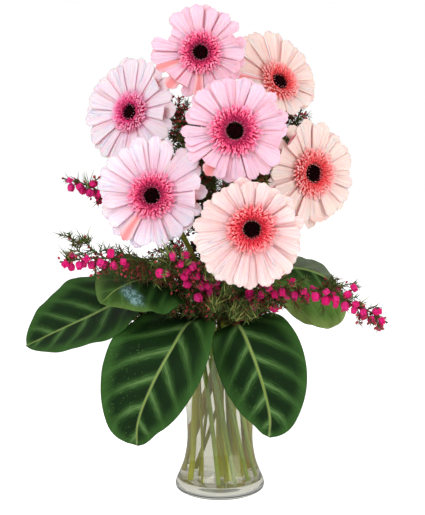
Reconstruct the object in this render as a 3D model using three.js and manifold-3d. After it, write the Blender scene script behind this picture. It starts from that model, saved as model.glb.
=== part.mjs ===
// Seven gerberas with broad striped leaves and boronia sprays in a clear glass vase.
// Millimetres, +Z up, with the origin at the centre of the vase's foot. The front of the
// arrangement faces -Y.
import * as THREE from 'three';
import { mergeGeometries, mergeVertices } from 'three/addons/utils/BufferGeometryUtils.js';
import Module from 'manifold-3d';

const wasm = await Module();
wasm.setup();
const { Manifold, Mesh } = wasm;

// Clearances
const GAP = 0.3;
const MERGE_DISTANCE = 1e-4;
const GOLDEN_ANGLE = THREE.MathUtils.degToRad(137.508);

// Vase
const VASE_HEIGHT = 178;
const VASE_WALL = 3;
const VASE_FLOOR = 12;
const VASE_SIDES = 24;
const FOOT_RADIUS = 40;
const FLOOR_CORNER = 4;
const VASE_OUTLINE = [
  [FOOT_RADIUS, 0],
  [46.3, 3.5],
  [47.3, 10],
  [43, 20.5],
  [38, 35],
  [35, 57],
  [36.2, 88],
  [39.6, 128],
  [46, VASE_HEIGHT],
];
const WATER_LEVEL = 150;
const INSIDE_HEIGHTS = [14, 22, 36, 57, 88, 125, WATER_LEVEL];

// Stems. Every stem is a straight line up to the mouth. The lines lean round the axis the
// same way, further out ones more, so that no two of them meet.
const BUNDLE_WAIST = 150;
const BUNDLE_TWIST = 0.0115;
const INNER_RING = 9;
const OUTER_RING = 17;
const BETWEEN_RINGS = 13;
const STEM_RADIUS = 2.8;
const STEM_SIDES = 6;
const STALK_RADIUS = 2.2;
const STALK_SIDES = 5;
const TWIG_RADIUS = 1.25;
const TWIG_SIDES = 4;

// Gerbera heads, in each head's own frame: +Z is the way it faces, and Z = 0 is the face of
// the plate that carries the rays.
const PLATE_RADIUS = 12;
const PLATE_DEPTH = 4.6;
const PLATE_SIDES = 11;
const RAYS_PER_LAYER = 11;
const RAY_ROOT = 9;
const RAY_WIDTH = 15.6;
const RAY_WIDTH_AT_RADIUS = 54;
const RAY_THICKNESS = 1.3;
const RAY_CHANNEL = 0.7;
const RAY_SWAY = 0.6;
const RAY_UNEVENNESS = 0.9;
const RAY_COLUMNS = 2;
const RAY_WIDEST_AT = 0.85;
const RAY_NECK = 0.32;
const RAY_BLUNTNESS = 0.2;
const RAY_LAYERS = [
  { height: -1.4, rise: 6.5, droop: 3.6, length: 0.975, rows: 3, spread: 1.8 },
  { height: -3.4, rise: 4.2, droop: 4.4, length: 1, rows: 2, spread: 2.7 },
];
const DISC_RADIUS = 7.3;
const DISC_HEIGHT = 4.4;
const DISC_SIDES = 10;
// The collar of florets in section, [radius, height]: through the point of an outer floret,
// and through the point of an inner floret between two outer ones.
const COLLAR_POINTS = 16;
const OUTER_FLORET = [[7.8, 0], [15, 0.6], [24, 5], [14.6, 5.4], [9.8, 6.4]];
const INNER_FLORET = [[7.8, 0], [15, 0.6], [18.6, 3.2], [18.4, 8.2], [9.8, 6.4]];
const CALYX_RADIUS = 11.6;
const CALYX_DEPTH = 13;
const CALYX_SIDES = 8;

// The seven heads: centre, the way each faces (degrees to the right and up), its radius, by
// what share its rays are longer towards one side (degrees from its right), the slot of its
// stem in the bundle and how far its neck runs straight behind the head.
const GERBERAS = [
  {
    centre: [-20, -38, 466],
    turn: 0,
    tilt: 8,
    radius: 50,
    skew: [0.02, 90],
    slot: [0, 0],
    neck: 48,
  },
  {
    centre: [61, 10, 435],
    turn: 35,
    tilt: 29,
    radius: 51,
    skew: [0.24, 100],
    slot: [OUTER_RING, 90],
    neck: 50,
  },
  {
    centre: [-93, 5, 404],
    turn: -34,
    tilt: 14,
    radius: 58,
    skew: [0.03, 120],
    slot: [OUTER_RING, 150],
    neck: 45,
  },
  {
    centre: [14, -80, 390],
    turn: 0,
    tilt: 8,
    radius: 54,
    skew: [0.01, 0],
    slot: [INNER_RING, 0],
    neck: 60,
  },
  {
    centre: [-68, -72, 325],
    turn: -12,
    tilt: 16,
    radius: 57,
    skew: [0.09, 70],
    slot: [INNER_RING, -120],
    neck: 50,
  },
  {
    centre: [95, -22, 343],
    turn: 33,
    tilt: 5,
    radius: 56,
    skew: [0.05, 180],
    slot: [OUTER_RING, 0],
    neck: 50,
  },
  {
    centre: [30, -118, 298],
    turn: 4,
    tilt: -2,
    radius: 55,
    skew: [0.13, -120],
    slot: [INNER_RING, -60],
    neck: 55,
  },
];

// The five leaves: the midrib from the blade's base to its tip, the way the upper surface
// faces at the base, middle and tip, the way the second half runs from the midrib where it
// isn't square to it, and for each half its width and how far it lifts (degrees).
const LEAF_THICKNESS = 1.2;
const LEAF_COLUMNS = 6;
const LEAF_ROWS = 8;
const LEAF_FULLNESS = 0.58;
const LEAF_TIP = 0.04;
const LEAF_WAVE = 1.6;
const LEAF_WAVES = 3;
const LEAVES = [
  {
    slot: [OUTER_RING, -150],
    midrib: [[-64, -4, 211], [-98, -16, 211], [-132, -30, 197], [-172, -41, 180], [-200, -45, 167]],
    facing: [[0, -0.3, 1], [0, -0.55, 0.84], [-0.2, -0.55, 0.8]],
    halfWidth: [50, 50],
    lift: [12, 12],
  },
  {
    slot: [OUTER_RING, -90],
    midrib: [
      [-14, -24, 190], [-32, -50, 192], [-50, -77, 169],
      [-71, -91, 131], [-83, -97, 98], [-84, -98, 76],
    ],
    facing: [[0, 0, 1], [-0.12, -0.9, 0.35], [0.05, -1, 0.1]],
    halfWidth: [58, 48],
    lift: [2, 22],
  },
  {
    slot: [OUTER_RING, -60],
    midrib: [[10, -24, 183], [19, -52, 190], [32, -72, 165], [44, -84, 130], [50, -88, 100], [49, -89, 82]],
    facing: [[0, 0, 1], [-0.2, -0.9, 0.35], [0, -1, 0.1]],
    halfWidth: [41, 50],
    lift: [-10, 4],
  },
  {
    slot: [OUTER_RING, 30],
    midrib: [[46, 10, 235], [70, 12, 240], [96, 8, 237], [118, 2, 226], [134, -8, 205]],
    facing: [[0, -0.6, 0.8], [0.05, -0.7, 0.7], [0.15, -0.8, 0.6]],
    side: [0, 0.72, 0.69],
    halfWidth: [64, 34],
    lift: [-12, -30],
  },
  {
    slot: [OUTER_RING, -120],
    midrib: [[-34, -24, 222], [-58, -44, 237], [-86, -62, 238], [-106, -73, 230], [-120, -80, 218]],
    facing: [[0.1, -0.3, 1], [0, -0.55, 0.85], [-0.4, -0.6, 0.6]],
    halfWidth: [46, 46],
    lift: [-4, -12],
  },
];

// The boronia sprays: the route of each main shoot above the mouth, its side shoots (where
// along the shoot each leaves it, and its tip), and what grows on each.
const NEEDLE_LENGTH = 15;
const NEEDLE_RADIUS = 0.75;
const BELL_LENGTH = 12;
const BELL_RADIUS = 4.3;
const BUD_RADIUS = 2;
const SPRAYS = [
  {
    slot: [OUTER_RING, 180],
    route: [[-30, 0, 232], [-52, -5, 271], [-104, -8, 308], [-135, -10, 328], [-164, -12, 337]],
    needles: 12,
    bells: 4,
    buds: 2,
    flowersFrom: 0.72,
    shoots: [],
  },
  {
    slot: [BETWEEN_RINGS, -135],
    route: [[-16, -20, 228], [-40, -50, 256], [-88, -80, 262], [-130, -84, 264], [-160, -84, 260]],
    needles: 13,
    bells: 7,
    buds: 3,
    flowersFrom: 0.6,
    shoots: [{ from: 0.62, tip: [-128, -70, 284], needles: 6, bells: 0, buds: 1 }],
  },
  {
    slot: [BETWEEN_RINGS, -75],
    route: [[0, -18, 204], [-6, -42, 224], [-16, -70, 240], [-32, -90, 262], [-52, -96, 277]],
    needles: 10,
    bells: 6,
    buds: 2,
    flowersFrom: 0.55,
    shoots: [
      { from: 0.4, tip: [30, -84, 212], needles: 6, bells: 0, buds: 4 },
      { from: 0.5, tip: [-66, -104, 262], needles: 6, bells: 1, buds: 1 },
    ],
  },
  {
    slot: [OUTER_RING, -30],
    route: [[18, -36, 215], [45, -70, 231], [90, -78, 231], [130, -74, 219], [169, -70, 196]],
    needles: 13,
    bells: 10,
    buds: 2,
    flowersFrom: 0.36,
    shoots: [{ from: 0.62, tip: [138, -60, 236], needles: 5, bells: 2, buds: 0 }],
  },
  {
    slot: [INNER_RING, 120],
    route: [[-8, 6, 281], [-16, 2, 323], [-29, -4, 365], [-42, -8, 399], [-52, -8, 420]],
    needles: 14,
    bells: 0,
    buds: 6,
    flowersFrom: 0.5,
    shoots: [{ from: 0.6, tip: [-26, -14, 398], needles: 5, bells: 0, buds: 1 }],
  },
  {
    slot: [OUTER_RING, 60],
    route: [[34, 32, 240], [48, 36, 298], [69, 34, 362], [82, 32, 396], [88, 31, 411]],
    needles: 12,
    bells: 0,
    buds: 4,
    flowersFrom: 0.7,
    shoots: [],
  },
  {
    slot: [4.8, -30],
    route: [[3.5, -6, 200], [3, -10, 230], [5, -18, 262], [12, -26, 292], [27, -33, 322], [55, -40, 347]],
    needles: 12,
    bells: 0,
    buds: 3,
    flowersFrom: 0.6,
    shoots: [{ from: 0.65, tip: [2, -40, 338], needles: 5, bells: 0, buds: 1 }],
  },
];

// Finishes
const FINISHES = {
  glass: { color: 0xdfe6e0, roughness: 0.03, metalness: 0, transparent: true, opacity: 0.35 },
  water: { color: 0xe8eee8, roughness: 0.02, metalness: 0, transparent: true, opacity: 0.35 },
  ray: { color: 0xf7c3cf, roughness: 0.6, metalness: 0 },
  floret: { color: 0xe04f7c, roughness: 0.65, metalness: 0 },
  disc: { color: 0x1d070c, roughness: 0.8, metalness: 0 },
  stem: { color: 0x7f9a45, roughness: 0.55, metalness: 0 },
  leaf: { color: 0x1f4a1c, roughness: 0.35, metalness: 0 },
  boronia: { color: 0xb02058, roughness: 0.6, metalness: 0 },
};

// Solids and geometries

function solidOf(geometry) {
  geometry.deleteAttribute('normal');
  geometry.deleteAttribute('uv');
  const merged = mergeVertices(geometry, MERGE_DISTANCE);
  const mesh = new Mesh({
    numProp: 3,
    vertProperties: new Float32Array(merged.attributes.position.array),
    triVerts: new Uint32Array(merged.index.array),
  });
  return new Manifold(mesh);
}

function geometryOf(solid) {
  const mesh = solid.getMesh();
  const geometry = new THREE.BufferGeometry();
  geometry.setAttribute('position', new THREE.BufferAttribute(mesh.vertProperties, mesh.numProp));
  geometry.setIndex(new THREE.BufferAttribute(mesh.triVerts, 1));
  geometry.computeVertexNormals();
  return geometry;
}

function placed(solid, matrix) {
  return solid.transform(matrix.elements);
}

function vector(values) {
  return new THREE.Vector3(...values);
}

// A section with the given number of sides, for tubes.
function roundSection(radius, sides) {
  const corners = [];
  for (let corner = 0; corner < sides; corner += 1) {
    const angle = (2 * Math.PI * corner) / sides;
    corners.push(new THREE.Vector2(radius * Math.cos(angle), radius * Math.sin(angle)));
  }
  return new THREE.Shape(corners);
}

function tube(path, radius, sides, steps) {
  const options = { steps, bevelEnabled: false, extrudePath: path };
  return solidOf(new THREE.ExtrudeGeometry(roundSection(radius, sides), options));
}

// A thin sheet, thickest inside and sharp at its edge. Place gives the point and the normal
// at u across and v along, and both faces are split into triangles alike.
function blade(columns, rows, thickness, place) {
  const faces = [1, -1].map((side) => {
    const face = new THREE.PlaneGeometry(1, 1, columns, rows);
    const { position, uv } = face.attributes;
    for (let index = 0; index < position.count; index += 1) {
      const u = uv.getX(index);
      const v = uv.getY(index);
      const onEdge = u === 0 || u === 1 || v === 0 || v === 1;
      const { point, normal } = place(u, v);
      point.addScaledVector(normal, onEdge ? 0 : (side * thickness) / 2);
      position.setXYZ(index, point.x, point.y, point.z);
    }
    if (side > 0) {
      face.index.array.reverse();
    }
    return face;
  });
  return solidOf(mergeGeometries(faces));
}

// A cone from a root towards a tip, standing on a base of a few sides.
function spike(root, tip, radius, sides) {
  const along = tip.clone().sub(root);
  const cone = new THREE.ConeGeometry(radius, along.length(), sides, 1);
  cone.translate(0, along.length() / 2, 0);
  const turn = new THREE.Quaternion().setFromUnitVectors(
    new THREE.Vector3(0, 1, 0),
    along.clone().normalize(),
  );
  cone.applyQuaternion(turn);
  cone.translate(root.x, root.y, root.z);
  return solidOf(cone);
}

function lathe(profile, sides) {
  const points = profile.map(([radius, height]) => new THREE.Vector2(radius, height));
  const geometry = new THREE.LatheGeometry(points, sides);
  geometry.rotateX(Math.PI / 2);
  return geometry;
}

// Vase and water

// The vase's outside, as heights and radii on a smooth curve through its outline.
function vaseOutside(divisions) {
  const points = VASE_OUTLINE.map(([radius, height]) => new THREE.Vector2(radius, height));
  return new THREE.SplineCurve(points).getPoints(divisions).map((point) => [point.x, point.y]);
}

function wallRadius(height) {
  const outside = vaseOutside(96);
  const above = outside.findIndex(([, level]) => level >= height);
  const [lowRadius, lowHeight] = outside[above - 1];
  const [highRadius, highHeight] = outside[above];
  const share = (height - lowHeight) / (highHeight - lowHeight);
  return THREE.MathUtils.lerp(lowRadius, highRadius, share) - VASE_WALL;
}

function vaseSolid() {
  const outside = vaseOutside(VASE_OUTLINE.length);
  const rim = [VASE_OUTLINE.at(-1)[0] - VASE_WALL, VASE_HEIGHT];
  const inside = INSIDE_HEIGHTS.toReversed().map((height) => [wallRadius(height), height]);
  const floorEdge = [wallRadius(INSIDE_HEIGHTS[0]) - FLOOR_CORNER, VASE_FLOOR];
  const profile = [[0, 0], ...outside, rim, ...inside, floorEdge, [0, VASE_FLOOR]];
  return solidOf(lathe(profile, VASE_SIDES));
}

function waterSolid(stemHoles) {
  const floorRadius = wallRadius(INSIDE_HEIGHTS[0]) - FLOOR_CORNER;
  const heights = [INSIDE_HEIGHTS[0] + GAP, ...INSIDE_HEIGHTS.slice(1)];
  const side = heights.map((height) => [wallRadius(height) - 1.1 * GAP, height]);
  const bottom = [floorRadius - GAP, VASE_FLOOR + GAP];
  const profile = [[0, VASE_FLOOR + GAP], bottom, ...side, [0, WATER_LEVEL]];
  const body = solidOf(lathe(profile, VASE_SIDES));
  return stemHoles.reduce((water, hole) => water.subtract(hole), body);
}

// Stems

function bundlePoint([ringRadius, degrees], height) {
  const angle = THREE.MathUtils.degToRad(degrees);
  const x = ringRadius * Math.cos(angle);
  const y = ringRadius * Math.sin(angle);
  const turn = (height - BUNDLE_WAIST) * BUNDLE_TWIST;
  return new THREE.Vector3(x + turn * y, y - turn * x, height);
}

function bundleDirection(slot) {
  return bundlePoint(slot, VASE_HEIGHT).sub(bundlePoint(slot, BUNDLE_WAIST)).normalize();
}

// A stem's foot stands on the vase's floor on the lowest edge of its cut end.
function bundleFoot(slot, radius) {
  const lean = Math.acos(bundleDirection(slot).z);
  return bundlePoint(slot, VASE_FLOOR + GAP + radius * Math.sin(lean));
}

// The path of a stem: straight to the mouth in one step, then along a curve.
class StemPath extends THREE.Curve {
  constructor(foot, curve, steps) {
    super();
    this.straight = new THREE.LineCurve3(foot, curve.getPoint(0));
    this.bend = curve;
    this.corner = 1 / steps;
  }

  getPoint(share) {
    if (share < this.corner) {
      return this.straight.getPoint(share / this.corner);
    }
    return this.bend.getPoint((share - this.corner) / (1 - this.corner));
  }

  getUtoTmapping(share) {
    return share;
  }
}

function stemPath(slot, radius, curve, steps) {
  return new StemPath(bundleFoot(slot, radius), curve, steps);
}

function stemHole(slot, radius) {
  const path = new THREE.LineCurve3(bundlePoint(slot, 0), bundlePoint(slot, VASE_HEIGHT));
  const cornerRadius = (radius + GAP) / Math.cos(Math.PI / STEM_SIDES);
  return tube(path, cornerRadius, STEM_SIDES, 1);
}

// Gerbera heads

function headMatrix({ centre, turn, tilt }) {
  const right = new THREE.Vector3(1, 0, 0).applyAxisAngle(
    new THREE.Vector3(0, 0, 1),
    THREE.MathUtils.degToRad(turn),
  );
  const facing = new THREE.Vector3(0, -1, 0)
    .applyAxisAngle(new THREE.Vector3(0, 0, 1), THREE.MathUtils.degToRad(turn))
    .applyAxisAngle(right, THREE.MathUtils.degToRad(-tilt));
  const up = facing.clone().cross(right);
  return new THREE.Matrix4().makeBasis(right, up, facing).setPosition(vector(centre));
}

// The share of its full width that a ray has at a share of its length.
function rayOutline(share) {
  if (share < RAY_WIDEST_AT) {
    return RAY_NECK + (1 - RAY_NECK) * Math.sin((Math.PI / 2) * (share / RAY_WIDEST_AT));
  }
  return Math.sqrt(1 - ((share - RAY_WIDEST_AT) / RAY_BLUNTNESS) ** 2);
}

function raySolid(head, layer, angle, index, seed) {
  const wobble = Math.sin((index + 1) * GOLDEN_ANGLE * 3 + seed);
  const sway = Math.cos((index + 1) * GOLDEN_ANGLE * 5 + seed);
  const [excess, side] = head.skew;
  const longer = 1 + 0.03 * sway + excess * Math.cos(angle - THREE.MathUtils.degToRad(side));
  const reach = head.radius * layer.length * longer - RAY_ROOT;
  const width = RAY_WIDTH * (head.radius / RAY_WIDTH_AT_RADIUS) * (1 + 0.06 * wobble);
  return blade(RAY_COLUMNS, layer.rows, RAY_THICKNESS, (u, v) => {
    const share = 1 - (1 - v) ** layer.spread;
    const across = 2 * u - 1;
    const rise = layer.rise + RAY_UNEVENNESS * wobble;
    const x = RAY_ROOT + reach * share * (1 - 0.04 * across * across * share);
    const y = across * 0.5 * width * rayOutline(share) + RAY_SWAY * sway * share;
    const channel = RAY_CHANNEL * across * across * share;
    const z = layer.height + rise * share - layer.droop * share * share + channel;
    return { point: new THREE.Vector3(x, y, z), normal: new THREE.Vector3(0, 0, 1) };
  });
}

function raysSolid(head, seed) {
  const depth = PLATE_DEPTH - GAP;
  const plate = new THREE.CylinderGeometry(PLATE_RADIUS, PLATE_RADIUS - 1, depth, PLATE_SIDES, 1);
  plate.rotateX(Math.PI / 2);
  plate.translate(0, 0, -(PLATE_DEPTH + GAP) / 2);
  const pieces = [solidOf(plate)];
  RAY_LAYERS.forEach((layer, row) => {
    for (let index = 0; index < RAYS_PER_LAYER; index += 1) {
      const angle = (2 * Math.PI * (index + 0.5 * row)) / RAYS_PER_LAYER + 0.2 * seed;
      const ray = raySolid(head, layer, angle, index + row * RAYS_PER_LAYER, seed);
      pieces.push(placed(ray, new THREE.Matrix4().makeRotationZ(angle)));
    }
  });
  return Manifold.union(pieces);
}

// The raised collar of short florets: a ring whose sections run in turn through the point
// of an outer floret and the point of an inner one.
function floretsSolid() {
  const sides = 2 * COLLAR_POINTS;
  const collar = lathe([...OUTER_FLORET, OUTER_FLORET[0]], sides);
  const { position } = collar.attributes;
  const rows = OUTER_FLORET.length + 1;
  for (let index = 0; index < position.count; index += 1) {
    const section = Math.floor(index / rows);
    const profile = section % 2 === 0 ? OUTER_FLORET : INNER_FLORET;
    const [radius, height] = profile[(index % rows) % OUTER_FLORET.length];
    const angle = (2 * Math.PI * (section % sides)) / sides;
    position.setXYZ(index, radius * Math.cos(angle), radius * Math.sin(angle), height);
  }
  return solidOf(collar);
}

function discSolid() {
  const profile = [
    [0, 0],
    [DISC_RADIUS, 0],
    [0.86 * DISC_RADIUS, 0.62 * DISC_HEIGHT],
    [0.45 * DISC_RADIUS, DISC_HEIGHT],
    [0, DISC_HEIGHT],
  ];
  return solidOf(lathe(profile, DISC_SIDES));
}

function calyxSolid() {
  const top = -PLATE_DEPTH - GAP;
  const profile = [
    [0, top - CALYX_DEPTH],
    [STEM_RADIUS, top - CALYX_DEPTH],
    [0.52 * CALYX_RADIUS, top - 0.78 * CALYX_DEPTH],
    [0.88 * CALYX_RADIUS, top - 0.42 * CALYX_DEPTH],
    [CALYX_RADIUS, top],
    [0, top],
  ];
  return solidOf(lathe(profile, CALYX_SIDES));
}

function gerberaStem(head) {
  const matrix = headMatrix(head);
  const facing = new THREE.Vector3().setFromMatrixColumn(matrix, 2);
  const mouth = bundlePoint(head.slot, VASE_HEIGHT);
  const depth = PLATE_DEPTH + GAP + 0.8 * CALYX_DEPTH;
  const end = vector(head.centre).addScaledVector(facing, -depth);
  const rise = mouth.distanceTo(end);
  const curve = new THREE.CubicBezierCurve3(
    mouth,
    mouth.clone().addScaledVector(bundleDirection(head.slot), 0.4 * rise),
    end.clone().addScaledVector(facing, -head.neck),
    end,
  );
  const steps = 9;
  const stalk = tube(stemPath(head.slot, STEM_RADIUS, curve, steps), STEM_RADIUS, STEM_SIDES, steps);
  return stalk.add(placed(calyxSolid(), matrix));
}

// Leaves

// The share of the full width that a blade has at a share of its length.
function leafOutline(share) {
  return Math.max(LEAF_TIP, Math.sin(Math.PI * share) ** LEAF_FULLNESS);
}

function facingAt(leaf, share) {
  const [base, middle, tip] = leaf.facing.map(vector);
  if (share < 0.5) {
    return base.lerp(middle, 2 * share);
  }
  return middle.lerp(tip, 2 * share - 1);
}

function leafBlade(leaf) {
  const midrib = new THREE.CatmullRomCurve3(leaf.midrib.map(vector));
  return blade(LEAF_COLUMNS, LEAF_ROWS, LEAF_THICKNESS, (u, v) => {
    const centre = midrib.getPointAt(v);
    const along = midrib.getTangentAt(v);
    const facing = facingAt(leaf, v);
    facing.addScaledVector(along, -facing.dot(along)).normalize();
    const side = leaf.side ? vector(leaf.side) : facing.clone().cross(along);
    const across = 2 * u - 1;
    const half = across < 0 ? 0 : 1;
    const reach = leaf.halfWidth[half] * leafOutline(v) * Math.abs(across);
    const lift = THREE.MathUtils.degToRad(leaf.lift[half]);
    const wave = LEAF_WAVE * Math.sin(2 * Math.PI * LEAF_WAVES * v + 2 * across) * across ** 2;
    const point = centre.addScaledVector(side, Math.sign(across) * reach * Math.cos(lift));
    point.addScaledVector(facing, reach * Math.sin(lift) + wave);
    return { point, normal: facing };
  });
}

function leafSolid(leaf) {
  const midrib = new THREE.CatmullRomCurve3(leaf.midrib.map(vector));
  const mouth = bundlePoint(leaf.slot, VASE_HEIGHT);
  const base = midrib.getPointAt(0.04);
  const along = midrib.getTangentAt(0);
  const span = mouth.distanceTo(base);
  const curve = new THREE.CubicBezierCurve3(
    mouth,
    mouth.clone().addScaledVector(bundleDirection(leaf.slot), 0.4 * span),
    base.clone().addScaledVector(along, -0.4 * span),
    base,
  );
  const steps = 7;
  const path = stemPath(leaf.slot, STALK_RADIUS, curve, steps);
  const stalk = tube(path, STALK_RADIUS, STALK_SIDES, steps);
  return stalk.add(leafBlade(leaf));
}

// Boronia sprays

// Two directions across a path at a point of it.
function acrossPath(path, share) {
  const along = path.getTangent(share);
  const first = along.clone().cross(new THREE.Vector3(0.3, 0.2, 1)).normalize();
  const second = along.clone().cross(first);
  return { along, first, second };
}

function outward(path, share, angle) {
  const { first, second } = acrossPath(path, share);
  return first.multiplyScalar(Math.cos(angle)).addScaledVector(second, Math.sin(angle));
}

function needleEnds(path, share, angle, length) {
  const root = path.getPoint(share);
  const away = outward(path, share, angle).multiplyScalar(0.75);
  const lean = away.add(path.getTangent(share).multiplyScalar(0.7));
  return { root, tip: root.clone().addScaledVector(lean.normalize(), length) };
}

// A hanging bell of four petals, drawn out into its stalk.
function bell(path, share, angle, margin) {
  const root = path.getPoint(share);
  const hang = outward(path, share, angle).add(new THREE.Vector3(0, -0.2, -0.7)).normalize();
  const profile = [
    [0, 0],
    [0.26 * BELL_RADIUS + margin, 0.4 * BELL_LENGTH],
    [BELL_RADIUS + margin, BELL_LENGTH + margin],
    [0, 0.88 * BELL_LENGTH + margin],
  ];
  const cup = lathe(profile, 4);
  cup.applyQuaternion(new THREE.Quaternion().setFromUnitVectors(new THREE.Vector3(0, 0, 1), hang));
  cup.translate(root.x, root.y, root.z);
  return solidOf(cup);
}

// A closed bud close to the shoot.
function bud(path, share, angle, margin) {
  const centre = path.getPoint(share).addScaledVector(outward(path, share, angle), TWIG_RADIUS + 0.6);
  const shape = new THREE.OctahedronGeometry(BUD_RADIUS + margin);
  shape.translate(centre.x, centre.y, centre.z);
  return solidOf(shape);
}

function boxesMeet(first, second) {
  return [0, 1, 2].every(
    (axis) => first.min[axis] <= second.max[axis] && second.min[axis] <= first.max[axis],
  );
}

// Whether a piece, made a little fat, stays clear of all that stands already.
function isClear(fatPiece, standing) {
  const box = fatPiece.boundingBox();
  return standing.every(
    (solid) => !boxesMeet(box, solid.boundingBox()) || fatPiece.intersect(solid).isEmpty(),
  );
}

// What grows on one shoot: needles, then bells and buds towards the tip, each turned by the
// golden angle from the last and left out where it would touch a neighbour.
function shootGrowth(path, growth, from, flowersFrom, standing) {
  const pieces = [];
  for (let index = 0; index < growth.needles; index += 1) {
    const share = from + (0.985 - from) * ((index + 0.5) / growth.needles);
    const length = NEEDLE_LENGTH * (0.8 + 0.3 * Math.sin(5 * index + 1));
    const { root, tip } = needleEnds(path, share, index * GOLDEN_ANGLE, length);
    if (isClear(spike(root, tip, NEEDLE_RADIUS + GAP, 3), standing)) {
      pieces.push(spike(root, tip, NEEDLE_RADIUS, 3));
    }
  }
  for (let index = 0; index < growth.bells; index += 1) {
    const share = flowersFrom + (0.97 - flowersFrom) * ((index + 0.5) / growth.bells);
    const angle = (index + 0.5) * GOLDEN_ANGLE;
    if (isClear(bell(path, share, angle, GAP), standing)) {
      pieces.push(bell(path, share, angle, 0));
    }
  }
  for (let index = 0; index < growth.buds; index += 1) {
    const share = flowersFrom + (0.99 - flowersFrom) * ((index + 1) / growth.buds);
    const angle = (index + 0.2) * GOLDEN_ANGLE;
    if (isClear(bud(path, share, angle, GAP), standing)) {
      pieces.push(bud(path, share, angle, 0));
    }
  }
  return pieces;
}

// A shoot's path as a chain of straight pieces, which its tube follows step by step.
class Chain extends THREE.Curve {
  constructor(curve, steps) {
    super();
    this.points = curve.getPoints(steps);
  }

  getPoint(share) {
    const place = Math.min(Math.max(share, 0), 1) * (this.points.length - 1);
    const link = Math.min(Math.floor(place), this.points.length - 2);
    return this.points[link].clone().lerp(this.points[link + 1], place - link);
  }

  getUtoTmapping(share) {
    return share;
  }
}

function sprayRoute(spray, steps) {
  const mouth = bundlePoint(spray.slot, VASE_HEIGHT);
  return new Chain(new THREE.CatmullRomCurve3([mouth, ...spray.route.map(vector)]), steps);
}

function spraySolid(spray, standing) {
  const steps = 9;
  const route = sprayRoute(spray, steps - 1);
  const path = stemPath(spray.slot, TWIG_RADIUS, route, steps);
  const pieces = [tube(path, TWIG_RADIUS, TWIG_SIDES, steps)];
  pieces.push(...shootGrowth(route, spray, 0.3, spray.flowersFrom, standing));
  spray.shoots.forEach((shoot) => {
    const start = route.getPoint(shoot.from);
    const tip = vector(shoot.tip);
    const knee = start.clone().lerp(tip, 0.45).addScaledVector(route.getTangent(shoot.from), 6);
    const branch = new Chain(new THREE.QuadraticBezierCurve3(start, knee, tip), 4);
    pieces.push(tube(branch, 0.8 * TWIG_RADIUS, 4, 4));
    pieces.push(...shootGrowth(branch, shoot, 0.2, 0.35, standing));
  });
  return Manifold.union(pieces);
}

// The whole arrangement

const arrangement = new THREE.Group();
arrangement.name = 'gerberas_in_a_vase';
const standing = [];

function addMesh(name, solid, finish, parent = arrangement) {
  const mesh = new THREE.Mesh(geometryOf(solid), new THREE.MeshStandardMaterial(FINISHES[finish]));
  mesh.name = name;
  parent.add(mesh);
}

addMesh('vase', vaseSolid(), 'glass');

GERBERAS.forEach((head, index) => {
  const name = `gerbera_${index + 1}`;
  const matrix = headMatrix(head);
  const bloom = new THREE.Group();
  bloom.applyMatrix4(matrix);
  arrangement.add(bloom);
  const rays = raysSolid(head, index);
  const florets = floretsSolid();
  const stem = gerberaStem(head);
  addMesh(`${name}_rays`, rays, 'ray', bloom);
  addMesh(`${name}_florets`, florets, 'floret', bloom);
  addMesh(`${name}_disc`, discSolid(), 'disc', bloom);
  addMesh(`${name}_stem`, stem, 'stem');
  standing.push(placed(rays, matrix), placed(florets, matrix), stem);
});

LEAVES.forEach((leaf, index) => {
  const solid = leafSolid(leaf);
  addMesh(`leaf_${index + 1}`, solid, 'leaf');
  standing.push(solid);
});

SPRAYS.forEach((spray, index) => {
  const solid = spraySolid(spray, standing);
  addMesh(`boronia_${index + 1}`, solid, 'boronia');
  standing.push(solid);
});

const stemHoles = [
  ...GERBERAS.map((head) => stemHole(head.slot, STEM_RADIUS)),
  ...LEAVES.map((leaf) => stemHole(leaf.slot, STALK_RADIUS)),
  ...SPRAYS.map((spray) => stemHole(spray.slot, TWIG_RADIUS)),
];
addMesh('water', waterSolid(stemHoles), 'water');

export default arrangement;
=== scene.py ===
"""Gerberas with leaves and boronia in a waisted glass vase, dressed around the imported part.

The vase stands on the floor at the origin, +Z is up and the blooms face -Y. Pieces are
modelled in millimetres and brought to metres when they are finished.
"""

import bisect
import math
import random

import bmesh
import bpy
from bpy.props import FloatProperty, FloatVectorProperty, IntProperty, PointerProperty
from mathutils import Matrix, Vector
from mathutils.bvhtree import BVHTree
from mathutils.geometry import interpolate_bezier


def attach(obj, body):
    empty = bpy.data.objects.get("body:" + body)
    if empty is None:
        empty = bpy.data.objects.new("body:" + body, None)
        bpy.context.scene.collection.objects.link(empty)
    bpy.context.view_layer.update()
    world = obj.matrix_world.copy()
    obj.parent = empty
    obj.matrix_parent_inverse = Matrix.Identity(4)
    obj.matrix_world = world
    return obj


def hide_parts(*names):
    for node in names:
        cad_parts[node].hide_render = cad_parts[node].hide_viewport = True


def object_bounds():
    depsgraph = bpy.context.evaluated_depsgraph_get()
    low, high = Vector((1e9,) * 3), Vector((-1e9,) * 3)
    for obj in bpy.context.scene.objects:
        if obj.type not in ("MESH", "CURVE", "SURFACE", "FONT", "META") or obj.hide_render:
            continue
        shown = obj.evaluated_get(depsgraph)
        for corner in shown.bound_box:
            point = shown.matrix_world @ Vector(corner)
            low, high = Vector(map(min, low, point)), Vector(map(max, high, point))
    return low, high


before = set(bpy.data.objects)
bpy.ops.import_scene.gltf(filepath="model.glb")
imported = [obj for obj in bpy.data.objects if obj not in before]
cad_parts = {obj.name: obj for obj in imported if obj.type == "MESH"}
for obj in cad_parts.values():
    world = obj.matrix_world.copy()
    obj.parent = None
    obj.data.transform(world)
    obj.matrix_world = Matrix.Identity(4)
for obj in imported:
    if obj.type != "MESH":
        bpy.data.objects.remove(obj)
CAD_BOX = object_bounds()

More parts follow.
